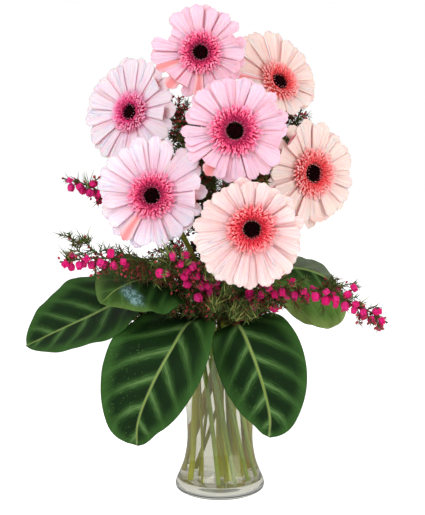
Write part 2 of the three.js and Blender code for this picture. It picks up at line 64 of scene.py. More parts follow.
bl_info = {
    "name": "Gerberas in a Vase",
    "version": (1, 0, 0),
    "blender": (4, 5, 0),
    "location": "3D View > Sidebar > Gerberas",
    "description": "Dresses the packed vase of gerberas, leaves and boronia",
    "category": "Add Mesh",
}

MM = 0.001
TURN = 2 * math.pi
GOLDEN_ANGLE = math.pi * (3 - math.sqrt(5))
X_AXIS = Vector((1, 0, 0))
UP = Vector((0, 0, 1))
TOWARDS_CAMERA = Vector((0, -1, 0))

# Millimetres within which doubles are merged, and vertices in a small mesh before it is put by
MERGE_DISTANCE = 0.0005
PUT_BY_AT = 300

# Seeds of the random draws, to which the number of the head or the spray is added
RAY_SEED = 40
FLORET_SEED = 70
DISC_SEED = 90
STEM_SEED = 110
SPRAY_SEED = 150

# Vase and water, in millimetres
VASE_HEIGHT = 178
VASE_WALL = 3
VASE_FLOOR = 12
FLOOR_CORNER = 4
VASE_OUTLINE = (
    (40, 0), (46.3, 3.5), (47.3, 10), (43, 20.5), (38, 35), (35, 57), (36.2, 88), (39.6, 128), (46, 178))
VASE_UNDERSIDE = ((0, 0.6), (30, 0.6), (36, 0))
VASE_SIDES = 128
RIM_DEPTH = 1.2
INSIDE_CORNER = 14
WATER_LEVEL = 150
WATER_OVERLAP = 0.25

# The bundle of stems in the neck
BUNDLE_WAIST = 150
BUNDLE_TWIST = 0.0115
INNER_RING = 9
OUTER_RING = 17
BETWEEN_RINGS = 13
STEM_RADIUS = 2.8
STALK_RADIUS = 2.2
TWIG_RADIUS = 1.25
STEM_FOOT = VASE_FLOOR + 0.9
TWIG_FOOT = VASE_FLOOR + 0.6
STRAIGHT_STEPS = 12
BEND_STEPS = 28
BEND_REACH = 0.4

# Gerbera heads
PLATE_RADIUS = 12
PLATE_DEPTH = 4.6
PLATE_INSET = 0.3
CALYX_DEPTH = 13
CALYX_RADIUS = 11.6
CALYX_OUTLINE = ((0.42, 0.88), (0.58, 0.74), (0.76, 0.54), (0.9, 0.32), (1, 0))
RAY_ROOT = 9
RAY_WIDTH_AT_RADIUS = 54
RAY_ROWS = 16
RAY_COLUMNS = 8
DISC_RADIUS = 8.1
DISC_HEIGHT = 3.6
DOME_SHARE = 0.88
DOME_STEPS = 7
DISC_BUDS = 76
STAMENS = 34
STAMEN_HEIGHT = 5.6
BRACT_ROWS = 3
BRACTS_PER_ROW = 14
RAY_LAYERS = (
    {"height": -1.6, "rise": 6.0, "droop": 3.8, "length": 0.985},
    {"height": -2.9, "rise": 5.7, "droop": 4.0, "length": 1.0},
)

# The surface under the florets, as radii and heights
COLLAR_BED = ((20, 0.2), (13, 0.7), (8, 0.8))
FLORET_THICKNESS = 0.25

# How far single rays and florets may differ, from the least to the most
RAY_TURN = (-0.058, 0.058)
RAY_BREADTH = (0.8, 1.16)
RAY_GROWTH = (-0.07, 0.03)
RAY_RISE = (-1.0, 1.0)
RAY_BEND = (-0.3, 0.32)
RAY_CUP = (-0.6, 1.5)
RAY_ROLL = (-0.18, 0.2)
RAY_SWAY = (-3.0, 3.0)
FLORET_REACH = (-1.9, 1.2)
FLORET_HEIGHT = (-1.3, 0.9)
FLORET_SIDEWAYS = (-0.12, 0.12)
STUNTED = 0.74

# Rows of the collar: root radius, tip radius, tip height, width, number, share of the colour run
FLORET_ROWS = (
    (9.2, 11.6, 4.4, 1.4, 30, 0.0),
    (10.4, 13.6, 5.8, 1.5, 36, 0.12),
    (12.0, 15.8, 7.0, 1.6, 40, 0.4),
    (13.8, 18.0, 7.6, 1.7, 44, 0.7),
    (15.6, 20.4, 7.4, 1.8, 48, 0.85),
    (17.2, 22.8, 6.0, 1.9, 50, 0.95),
    (18.4, 25.4, 4.0, 2.0, 50, 1.0),
)

# Turn and tilt are in degrees. Skew makes the rays of one side longer, by a share towards an
# angle. Collar is the size of the collar and the disc. Curled lists the front rays whose tips
# curl forward, each by its angle round the head and its curl in degrees; turned lists the rays
# that show their backs, by angle and layer; short lists angles whose rays are stunted.
GERBERAS = (
    {
        "centre": (-20, -38, 466), "turn": 0, "tilt": 8, "radius": 50, "skew": (-0.02, 0),
        "slot": (0, 0), "neck": 48, "finish": "pink", "collar": 0.92,
        "curled": ((-150, 95), (-122, 100), (-40, 85), (12, 95), (-16, 60)),
        "turned": ((-96, 0), (-126, 1), (-150, 1)), "short": (152,),
    },
    {
        "centre": (61, 10, 435), "turn": 35, "tilt": 29, "radius": 51, "skew": (0.24, 100),
        "slot": (17, 90), "neck": 50, "finish": "peach", "collar": 0.92,
        "curled": ((165, 80), (200, 95), (140, 60)), "turned": ((180, 1),), "short": (),
    },
    {
        "centre": (-93, 5, 404), "turn": -34, "tilt": 14, "radius": 58, "skew": (0.03, 120),
        "slot": (17, 150), "neck": 45, "finish": "pale", "collar": 0.86,
        "curled": ((48, 75), (-55, 85), (10, 60)), "turned": (), "short": (),
    },
    {
        "centre": (14, -80, 390), "turn": 0, "tilt": 8, "radius": 54, "skew": (0.01, 0),
        "slot": (9, 0), "neck": 60, "finish": "pink", "collar": 1.08,
        "curled": ((-23, 85), (-140, 90), (30, 50)), "turned": ((-128, 1),), "short": (),
    },
    {
        "centre": (-68, -72, 325), "turn": -12, "tilt": 16, "radius": 57, "skew": (0.08, 110),
        "slot": (9, -120), "neck": 50, "finish": "rose", "collar": 1.0,
        "curled": ((-6, 85), (15, 60), (78, 50), (200, 70)), "turned": ((-118, 0),), "short": (),
    },
    {
        "centre": (95, -22, 343), "turn": 33, "tilt": 5, "radius": 56, "skew": (0.05, 180),
        "slot": (17, 0), "neck": 50, "finish": "peach", "collar": 1.08,
        "curled": ((121, 80), (150, 70), (-80, 60)), "turned": (), "short": (),
    },
    {
        "centre": (30, -118, 298), "turn": 4, "tilt": -2, "radius": 55, "skew": (0.13, -120),
        "slot": (9, -60), "neck": 55, "finish": "coral", "collar": 1.02,
        "curled": ((160, 42), (100, 35), (-100, 30)), "turned": (), "short": (),
    },
)

# Colours of the finishes that have no setting: the rays' tips and streaks, the florets' roots,
# middles and tips, and the stems' lower part, upper part and blush
RAY_TINTS = {
    "pink": ((0.94, 0.58, 0.69), (0.82, 0.22, 0.38)),
    "rose": ((0.94, 0.76, 0.84), (0.82, 0.26, 0.44)),
    "pale": ((0.91, 0.75, 0.81), (0.86, 0.34, 0.52)),
    "peach": ((0.94, 0.7, 0.65), (0.87, 0.32, 0.29)),
    "coral": ((0.93, 0.68, 0.66), (0.84, 0.24, 0.24)),
}
FLORET_TINTS = {
    "pink": ((0.37, 0.003, 0.06), (0.95, 0.09, 0.24), (0.98, 0.46, 0.64)),
    "pale": ((0.74, 0.012, 0.15), (0.97, 0.15, 0.37), (0.98, 0.55, 0.73)),
    "peach": ((0.95, 0.05, 0.07), (1.0, 0.22, 0.22), (1.0, 0.62, 0.6)),
    "coral": ((0.72, 0.006, 0.03), (0.95, 0.11, 0.14), (0.98, 0.5, 0.5)),
}
STEM_TINTS = {
    "stem_green": ((0.38, 0.44, 0.02), (0.26, 0.34, 0.05), (0.42, 0.36, 0.02)),
    "stem_olive": ((0.37, 0.37, 0.03), (0.3, 0.33, 0.05), (0.31, 0.2, 0.03)),
    "leaf_stalk": ((0.25, 0.31, 0.03), (0.2, 0.32, 0.1), (0.14, 0.21, 0.03)),
}

# Leaves
LEAF_FULLNESS = 0.58
LEAF_TIP = 0.012
LEAF_WAVE = 1.6
LEAF_WAVES = 3
LEAF_COLUMNS = 48
LEAF_ROWS = 72
SIDE_VEINS = 5.6
VEIN_SLOPE = 0.85
VEIN_BEND = 0.05
BLADE_STARTS = 0.04
RIB_REACH = 0.93
RIB_STEPS = 24
MIDRIB_STEPS = 24
LEAF_LIT = (0.1, 0.21, 0.035)
LEAF_LIT_MARGIN = (0.24, 0.32, 0.09)
LEAF_LIT_VEIN = (0.26, 0.4, 0.16)
# Painted sheen: a pale grey-green veil laid over the upper half of a leaf
LEAF_PAINTED_SHEEN = (0.21, 0.25, 0.16)
# Tint and glints of a painted reflection on one leaf
PAINTED_REFLECTION_TINT = (0.06, 0.14, 0.12)
PAINTED_REFLECTION_GLINTS = (0.25, 0.4, 0.42)

# Facing is the way a leaf's face looks at its base, middle and tip. Half width, and lift in
# degrees, are given for its two halves. Bands, lit and the sheen and reflection keys say how
# strong the light side bands, a painted sunlit half, a painted sheen and a painted reflection are.
LEAVES = (
    {
        "slot": (OUTER_RING, -150),
        "midrib": ((-64, -4, 211), (-98, -16, 211), (-132, -30, 197), (-172, -41, 180), (-200, -45, 167)),
        "facing": ((0, -0.3, 1), (0, -0.55, 0.84), (-0.2, -0.55, 0.8)),
        "half_width": (50, 50),
        "lift": (12, 12),
        "bands": 0.75,
    },
    {
        "slot": (OUTER_RING, -90),
        "midrib": (
            (-14, -24, 190), (-32, -50, 192), (-50, -77, 169),
            (-71, -91, 131), (-83, -97, 98), (-84, -98, 76),
        ),
        "facing": ((0, 0, 1), (-0.12, -0.9, 0.35), (0.05, -1, 0.1)),
        "half_width": (58, 48),
        "lift": (2, 22),
    },
    {
        "slot": (OUTER_RING, -60),
        "midrib": (
            (10, -24, 183), (19, -52, 190), (32, -72, 165),
            (44, -84, 130), (50, -88, 100), (49, -89, 82),
        ),
        "facing": ((0, 0, 1), (-0.2, -0.9, 0.35), (0, -1, 0.1)),
        "half_width": (41, 50),
        "lift": (-10, 4),
    },
    {
        "slot": (OUTER_RING, 30),
        "midrib": ((46, 10, 235), (70, 12, 240), (96, 8, 237), (118, 2, 226), (134, -8, 205)),
        "facing": ((0, -0.6, 0.8), (0.05, -0.7, 0.7), (0.15, -0.8, 0.6)),
        "side": (0, 0.72, 0.69),
        "half_width": (64, 34),
        "lift": (-12, -30),
        "bands": 0.7,
        "lit": 1.0,
        "painted_sheen": 0.9,
    },
    {
        "slot": (OUTER_RING, -120),
        "midrib": ((-34, -24, 222), (-58, -44, 237), (-86, -62, 238), (-106, -73, 230), (-120, -80, 218)),
        "facing": ((0.1, -0.3, 1), (0, -0.55, 0.85), (-0.4, -0.6, 0.6)),
        "half_width": (46, 46),
        "lift": (-4, -12),
        "bands": 0.12,
        "lit": 0.3,
        "painted_reflection": 1.0,
    },
)

# Boronia, in millimetres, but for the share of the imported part's size by which a spray may pass
# its box
BOX_SPARE = 0.012
NEEDLE_CLEARANCE = 0.5
BUD_CLEARANCE = 1.2
TWIG_CLEARANCE = 1.5
BUD_STALK = (2.5, 5.5)
TUFT_NEEDLE = (11, 22)
SHORT_TWIG = (7, 15)
LONG_TWIG = (16, 42)
STEM_NEEDLES_EVERY = 1.2
FLOWERING_NEEDLES_EVERY = 2.4
SHOOT_NEEDLES_EVERY = 1.3
TWIG_NEEDLES_EVERY = 0.85

# A bell's outside and inside, as shares of its radius and of its length from the stalk
BELL_OUTSIDE = (
    (0.12, 0.22), (0.42, 0.25), (0.82, 0.35), (1.06, 0.5), (1.08, 0.66), (0.94, 0.84), (0.7, 0.99))
BELL_INSIDE = ((0.62, 0.97), (0.45, 0.9))
BELL_WALL = 0.35
BELL_DROOP = Vector((0, -0.15, -0.8))

# Bells and buds grow from flowers_from to the tip, and side twigs from leafy_from, one for every
# twig_every millimetres. A shoot has its start, its tip, and its bells and buds; a tuft has its
# root, the way it leans and its needles.
SPRAYS = (
    {
        "slot": (OUTER_RING, 180),
        "route": ((-30, 0, 232), (-52, -5, 271), (-104, -8, 308), (-135, -10, 328), (-164, -12, 337)),
        "bells": 10, "buds": 10, "flowers_from": 0.8, "leafy_from": 0.15, "twig_every": 2.4,
        "shoots": ((0.2, (-46, 12, 236), 0, 6), (0.06, (-60, -20, 205), 0, 8), (0.04, (-44, -32, 200), 0, 8),
                   (0.0, (-93, -12, 188), 0, 6), (0.02, (-86, -16, 195), 0, 8)),
        "tufts": (
            ((-136, -12, 326), (-0.2, 0, 1), 12),
            ((-82, -12, 194), (-0.6, 0, 0.2), 26),
            ((-90, -12, 189), (-0.2, 0, 0.5), 22),
            ((-96, -10, 186), (-0.2, 0, 0.3), 18),
        ),
    },
    {
        "slot": (BETWEEN_RINGS, -135),
        "route": ((-16, -20, 228), (-40, -50, 256), (-88, -80, 262), (-130, -84, 264), (-160, -84, 260)),
        "bells": 15, "buds": 34, "flowers_from": 0.7, "leafy_from": 0.03, "twig_every": 1.5, "hang": 1.8,
        "shoots": (
            (0.8, (-139, -74, 284), 0, 3),
            (0.88, (-150, -76, 287), 0, 2),
            (0.62, (-116, -74, 272), 1, 3),
            (0.2, (-50, -68, 228), 0, 12),
            (0.3, (-76, -84, 246), 0, 14),
            (0.42, (-98, -86, 250), 0, 12),
            (0.1, (-52, -50, 214), 0, 10),
            (0.04, (-62, -46, 203), 0, 10),
            (0.05, (-34, -44, 198), 0, 10),
        ),
        "tufts": (
            ((-136, -74, 280), (-0.6, 0, 1), 7),
            ((-114, -76, 268), (0.15, 0, 1), 5),
            ((-150, -82, 262), (-0.6, 0, 0.6), 10),
        ),
    },
    {
        "slot": (BETWEEN_RINGS, -75),
        "route": ((0, -18, 204), (-6, -42, 224), (-16, -70, 240), (-32, -90, 262), (-52, -96, 277)),
        "bells": 20, "buds": 22, "flowers_from": 0.42, "leafy_from": 0.02, "twig_every": 1.2,
        "shoots": (
            (0.4, (30, -84, 212), 0, 14),
            (0.5, (-66, -104, 262), 4, 5),
            (0.15, (-36, -60, 206), 0, 18),
            (0.2, (-12, -76, 206), 0, 18),
            (0.3, (-34, -72, 226), 2, 10),
            (0.6, (-6, -92, 262), 0, 8),
            (0.3, (-50, -58, 214), 0, 8),
            (0.2, (-58, -62, 207), 0, 8),
        ),
        "tufts": (
            ((-48, -98, 266), (-0.6, -0.2, 0.8), 34),
            ((-36, -96, 262), (0.3, -0.2, 1), 24),
            ((-12, -90, 246), (0.3, -0.1, 1), 30),
            ((4, -90, 228), (0.5, -0.1, 1), 30),
            ((-6, -82, 212), (0.1, -0.2, 1), 36),
            ((14, -86, 206), (0.2, -0.2, 1), 36),
            ((34, -84, 206), (-0.2, -0.2, 1), 26),
        ),
    },
    {
        "slot": (OUTER_RING, -30),
        "route": ((18, -36, 215), (45, -70, 231), (90, -78, 231), (130, -74, 219), (169, -70, 196)),
        "bells": 38, "buds": 16, "flowers_from": 0.3, "leafy_from": 0.02, "twig_every": 1.3,
        "shoots": (
            (0.62, (138, -60, 236), 3, 4),
            (0.12, (30, -64, 204), 0, 16),
            (0.2, (56, -82, 214), 2, 10),
            (0.1, (12, -60, 222), 0, 10),
            (0.05, (44, -40, 201), 0, 10),
            (0.07, (62, -30, 209), 0, 8),
            (0.03, (52, -16, 204), 0, 6),
            (0.05, (60, -4, 210), 0, 6),
            (0.04, (46, -4, 198), 0, 6),
            (0.25, (66, -60, 212), 0, 8),
        ),
        "tufts": (((138, -72, 214), (1, 0, 0.2), 7), ((158, -70, 204), (1, 0, 0.1), 5)),
    },
    {
        "slot": (INNER_RING, 120),
        "route": ((-8, 6, 281), (-16, 2, 323), (-29, -4, 365), (-42, -8, 399), (-52, -8, 420)),
        "bells": 0, "buds": 50, "flowers_from": 0.4, "leafy_from": 0.1, "twig_every": 1.0,
        "shoots": (
            (0.6, (-26, -14, 398), 0, 8),
            (0.45, (-12, -20, 356), 0, 8),
            (0.62, (-44, -18, 384), 0, 8),
        ),
    },
    {
        "slot": (OUTER_RING, 60),
        "route": ((34, 32, 240), (48, 36, 298), (69, 34, 362), (82, 32, 396), (88, 31, 411)),
        "bells": 0, "buds": 16, "flowers_from": 0.7, "leafy_from": 0.1, "twig_every": 1.8,
        "shoots": (),
    },
    {
        "slot": (4.8, -30),
        "route": (
            (3.5, -6, 200), (3, -10, 230), (5, -18, 262), (12, -26, 292), (27, -33, 322), (55, -40, 347)),
        "bells": 0, "buds": 34, "flowers_from": 0.5, "leafy_from": 0.05, "twig_every": 0.9,
        "shoots": (
            (0.65, (2, -40, 338), 0, 8),
            (0.5, (-22, -30, 300), 0, 6),
            (0.6, (-14, -36, 326), 0, 10),
            (0.55, (-22, -42, 338), 0, 8),
            (0.8, (40, -52, 342), 0, 8),
            (0.1, (8, -46, 212), 0, 14),
        ),
    },
)


# Sizes and colours that a user would change


class VaseSettings(bpy.types.PropertyGroup):
    glass_tint: FloatVectorProperty(
        name="Glass tint", description="Colour of the glass", subtype="COLOR",
        default=(0.88, 0.89, 0.85), min=0, max=1)
    water_tint: FloatVectorProperty(
        name="Water tint", description="Colour of the water", subtype="COLOR",
        default=(0.88, 0.85, 0.76), min=0, max=1)


class BloomSettings(bpy.types.PropertyGroup):
    rays_per_layer: IntProperty(
        name="Rays per layer", description="Long rays in each of the two layers", default=15, min=8, max=20)
    ray_width: FloatProperty(
        name="Ray width", description="Widest width of a ray of a middling head",
        default=0.0156, unit="LENGTH")
    ray_thickness: FloatProperty(
        name="Ray thickness", description="Thickness of a ray", default=0.0006, unit="LENGTH")
    pink: FloatVectorProperty(
        name="Pink rays", description="Colour of the pink heads", subtype="COLOR",
        default=(0.94, 0.55, 0.66), min=0, max=1)
    rose: FloatVectorProperty(
        name="Rose rays", description="Colour of the rose heads", subtype="COLOR",
        default=(0.93, 0.6, 0.7), min=0, max=1)
    pale: FloatVectorProperty(
        name="Pale rays", description="Colour of the palest heads", subtype="COLOR",
        default=(0.95, 0.72, 0.8), min=0, max=1)
    peach: FloatVectorProperty(
        name="Peach rays", description="Colour of the peach heads", subtype="COLOR",
        default=(0.96, 0.66, 0.61), min=0, max=1)
    coral: FloatVectorProperty(
        name="Coral rays", description="Colour of the coral head", subtype="COLOR",
        default=(0.95, 0.59, 0.6), min=0, max=1)
    underside: FloatVectorProperty(
        name="Undersides", description="Colour of the backs of the rays", subtype="COLOR",
        default=(0.84, 0.27, 0.28), min=0, max=1)


class LeafSettings(bpy.types.PropertyGroup):
    thickness: FloatProperty(
        name="Leaf thickness", description="Thickness of a blade", default=0.0006, unit="LENGTH")
    dark: FloatVectorProperty(
        name="Dark bands", description="Colour between the side veins", subtype="COLOR",
        default=(0.004, 0.014, 0.003), min=0, max=1)
    light: FloatVectorProperty(
        name="Light bands", description="Colour along the side veins", subtype="COLOR",
        default=(0.1, 0.2, 0.06), min=0, max=1)
    margin: FloatVectorProperty(
        name="Margin", description="Colour of the leaf's edge zone", subtype="COLOR",
        default=(0.034, 0.1, 0.018), min=0, max=1)
    midrib: FloatVectorProperty(
        name="Midrib", description="Colour of the midrib and the stalk", subtype="COLOR",
        default=(0.25, 0.35, 0.13), min=0, max=1)


class SpraySettings(bpy.types.PropertyGroup):
    needle_length: FloatProperty(
        name="Needle length", description="Length of a middling needle", default=0.0085, unit="LENGTH")
    bell_length: FloatProperty(
        name="Bell length", description="Length of a bell with its stalk", default=0.0118, unit="LENGTH")
    bell_radius: FloatProperty(
        name="Bell radius", description="Radius of a bell", default=0.0041, unit="LENGTH")
    bell: FloatVectorProperty(
        name="Bells", description="Colour of the bells", subtype="COLOR",
        default=(0.63, 0.006, 0.14), min=0, max=1)
    bud: FloatVectorProperty(
        name="Buds", description="Colour of the closed buds", subtype="COLOR",
        default=(0.24, 0.02, 0.04), min=0, max=1)


class StageSettings(bpy.types.PropertyGroup):
    floor: FloatVectorProperty(
        name="Floor", description="Colour of the floor", subtype="COLOR",
        default=(0.9, 0.9, 0.9), min=0, max=1)
    key_power: FloatProperty(
        name="Key light", description="Power of the key light", default=26.0, unit="POWER")
    fill_power: FloatProperty(
        name="Fill light", description="Power of the fill light", default=20.0, unit="POWER")


# Paths and curves


def lerp(first, second, share):
    return first + (second - first) * share


def smooth(value, low, high):
    """0 below low, 1 above high, and a soft step between them."""
    share = min(max((value - low) / (high - low), 0), 1)
    return share * share * (3 - 2 * share)


def vectors(rows):
    return [Vector(row) for row in rows]


def spline(controls, steps, power):
    """A Catmull-Rom curve through the controls; the first and the last only steer it."""
    points = []
    for first, start, end, last in zip(controls, controls[1:], controls[2:], controls[3:]):
        gap = (end - start).length ** power or 1.0
        before = (start - first).length ** power or gap
        after = (last - end).length ** power or gap
        leaving = ((start - first) / before - (end - first) / (before + gap) + (end - start) / gap) * gap
        arriving = ((end - start) / gap - (last - start) / (gap + after) + (last - end) / after) * gap
        for step in range(steps):
            t = step / steps
            square, cube = t * t, t * t * t
            points.append(
                start * (2 * cube - 3 * square + 1)
                + end * (3 * square - 2 * cube)
                + leaving * (cube - 2 * square + t)
                + arriving * (cube - square)
            )
    return points + [controls[-2]]


def smooth_route(rows, steps):
    """A smooth route through the rows, which runs on straight at both ends."""
    points = vectors(rows)
    ends = (points[0] * 2 - points[1], points[-1] * 2 - points[-2])
    return spline([ends[0], *points, ends[1]], steps, 0.5)


class Path:
    """A polyline that is read by the share of its length."""

    def __init__(self, points):
        self.points = points
        self.marks = [0.0]
        for first, second in zip(points, points[1:]):
            self.marks.append(self.marks[-1] + (second - first).length)
        self.length = self.marks[-1]

    def at(self, share):
        mark = min(max(share, 0), 1) * self.length
        link = min(max(bisect.bisect_right(self.marks, mark) - 1, 0), len(self.points) - 2)
        span = self.marks[link + 1] - self.marks[link]
        return self.points[link].lerp(self.points[link + 1], (mark - self.marks[link]) / span)

    def along(self, share):
        share = min(max(share, 0), 1)
        return (self.at(share + 0.01) - self.at(share - 0.01)).normalized()


def bundle_point(slot, height):
    """Where a stem stands at a height: its ring and angle in the bundle, which turns as it rises."""
    ring, degrees = slot
    x = ring * math.cos(math.radians(degrees))
    y = ring * math.sin(math.radians(degrees))
    turn = (height - BUNDLE_WAIST) * BUNDLE_TWIST
    return Vector((x + turn * y, y - turn * x, height))


def bundle_direction(slot):
    return (bundle_point(slot, VASE_HEIGHT) - bundle_point(slot, BUNDLE_WAIST)).normalized()


def rise_to(slot, end, arriving):
    """The path of a stem: straight from the vase's floor to its mouth, then a curve to its end."""
    foot = bundle_point(slot, STEM_FOOT)
    mouth = bundle_point(slot, VASE_HEIGHT)
    leaving = bundle_direction(slot) * (BEND_REACH * (end - mouth).length)
    bend = interpolate_bezier(mouth, mouth + leaving, end - arriving, end, BEND_STEPS)
    straight = [foot.lerp(mouth, step / STRAIGHT_STEPS) for step in range(STRAIGHT_STEPS)]
    return straight + bend


def standing(place, along):
    """A place whose Z axis points along a direction."""
    return Matrix.Translation(place) @ along.to_track_quat("Z", "Y").to_matrix().to_4x4()


def round_point(radius, angle, height):
    return Vector((radius * math.cos(angle), radius * math.sin(angle), height))


# Meshes


class Piece:
    """A mesh in the making, in millimetres, with a tone and other values for each vertex.

    Shapes are made in a small mesh, bm, and put by in the whole from time to time, because an
    operator takes longer the more there is in the mesh it works on."""

    def __init__(self, name, values=("tone",)):
        self.name = name
        self.values = values
        self.whole = bmesh.new()
        self.add_layers(self.whole)
        self.start()

    def add_layers(self, bm):
        bm.loops.layers.uv.new("UVMap")
        return {value: bm.verts.layers.float.new(value) for value in self.values}

    def start(self):
        self.bm = bmesh.new()
        self.layers = self.add_layers(self.bm)

    def put_by(self):
        """Moves the shapes made so far to the whole."""
        mesh = bpy.data.meshes.new("put by")
        self.bm.to_mesh(mesh)
        self.bm.free()
        self.whole.from_mesh(mesh)
        bpy.data.meshes.remove(mesh)
        self.start()

    def make_room(self):
        if len(self.bm.verts) > PUT_BY_AT:
            self.put_by()

    def mark(self, verts, tone, finish=0):
        layer = self.layers["tone"]
        for vert in verts:
            if vert.is_valid:
                vert[layer] = tone
        if finish:
            for face in {face for vert in verts if vert.is_valid for face in vert.link_faces}:
                face.material_index = finish

    def sheet(self, columns, rows, place, values=None):
        """A grid whose points place(u, v) gives, with u and v kept as its UV map.

        Where it is given, values(u, v) holds the numbers of the layers at each point."""
        self.make_room()
        made = bmesh.ops.create_grid(
            self.bm, x_segments=columns, y_segments=rows, size=0.5, calc_uvs=True)
        for vert in made["verts"]:
            u, v = vert.co.x + 0.5, vert.co.y + 0.5
            vert.co = place(u, v)
            for name, value in (values(u, v) if values else {}).items():
                vert[self.layers[name]] = value
        return made["verts"]

    def close(self, verts, fill=False):
        """Merges a wrapped sheet's seam and poles, and fills the ends of a tube."""
        bmesh.ops.remove_doubles(self.bm, verts=verts, dist=MERGE_DISTANCE)
        verts = [vert for vert in verts if vert.is_valid]
        if fill:
            edges = {edge for vert in verts for edge in vert.link_edges if edge.is_boundary}
            bmesh.ops.holes_fill(self.bm, edges=list(edges), sides=0)
        return verts

    def lathe(self, profile, sides, matrix=None, swell=None):
        """A profile of radii and heights turned round the axis; swell(angle, v) changes its radius."""
        last = len(profile) - 1
        matrix = matrix or Matrix.Identity(4)

        def place(u, v):
            radius, height = profile[round(v * last)]
            angle = TURN * u
            if swell:
                radius *= swell(angle, v)
            return matrix @ round_point(radius, angle, height)

        return self.close(self.sheet(sides, last, place))

    def tube(self, points, radius, sides):
        """A round tube along points; radius(v) is its radius at a share of its rows."""
        rows = len(points) - 1
        rings = []
        first = (points[1] - points[0]).orthogonal()
        for index, point in enumerate(points):
            along = (points[min(index + 1, rows)] - points[max(index - 1, 0)]).normalized()
            first = (first - along * first.dot(along)).normalized()
            rings.append((point, first, along.cross(first)))

        def place(u, v):
            point, first, second = rings[round(v * rows)]
            angle = TURN * u
            return point + (first * math.cos(angle) + second * math.sin(angle)) * radius(v)

        return self.close(self.sheet(sides, rows, place), fill=True)

    def spike(self, root, tip, radius):
        """A four-sided needle from a root to its sharp tip."""
        self.make_room()
        along = tip - root
        return bmesh.ops.create_cone(
            self.bm, segments=4, cap_ends=True, radius1=radius, radius2=0, depth=along.length,
            matrix=standing(root.lerp(tip, 0.5), along))["verts"]

    def ball(self, centre, along, radius, length, sides=6, rings=5):
        """A long round bud that points along a direction."""
        self.make_room()
        stretch = Matrix.Diagonal((1, 1, length / radius, 1))
        return bmesh.ops.create_uvsphere(
            self.bm, u_segments=sides, v_segments=rings, radius=radius,
            matrix=standing(centre, along) @ stretch)["verts"]

    def finish(self, materials, slot, nodes=()):
        """Brings the mesh to metres and makes it a piece that rides on the part."""
        self.put_by()
        bmesh.ops.scale(self.whole, vec=(MM, MM, MM), verts=self.whole.verts)
        for face in self.whole.faces:
            face.smooth = True
        mesh = bpy.data.meshes.new(self.name)
        self.whole.to_mesh(mesh)
        self.whole.free()
        for material in materials:
            mesh.materials.append(material)
        piece = bpy.data.objects.new(self.name, mesh)
        bpy.context.scene.collection.objects.link(piece)
        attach(piece, "root")
        if nodes:
            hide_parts(*nodes)
        return piece


def add_wall(piece, thickness, back_finish=0, offset=-1.0):
    """Gives a sheet its thickness: behind its front face, or to both sides where offset is 0."""
    wall = piece.modifiers.new("Wall", "SOLIDIFY")
    wall.thickness = thickness
    wall.offset = offset
    wall.use_rim = True
    wall.material_offset = back_finish
    wall.material_offset_rim = 0


# Finishes


class Field:
    """A number that varies over a surface, with plain arithmetic on its sockets."""

    def __init__(self, shade, socket):
        self.shade = shade
        self.socket = socket

    def __add__(self, other):
        return self.shade.math("ADD", self, other)

    def __sub__(self, other):
        return self.shade.math("SUBTRACT", self, other)

    def __rsub__(self, other):
        return self.shade.math("SUBTRACT", other, self)

    def __mul__(self, other):
        return self.shade.math("MULTIPLY", self, other)

    def __pow__(self, other):
        return self.shade.math("POWER", self, other)

    __radd__ = __add__
    __rmul__ = __mul__


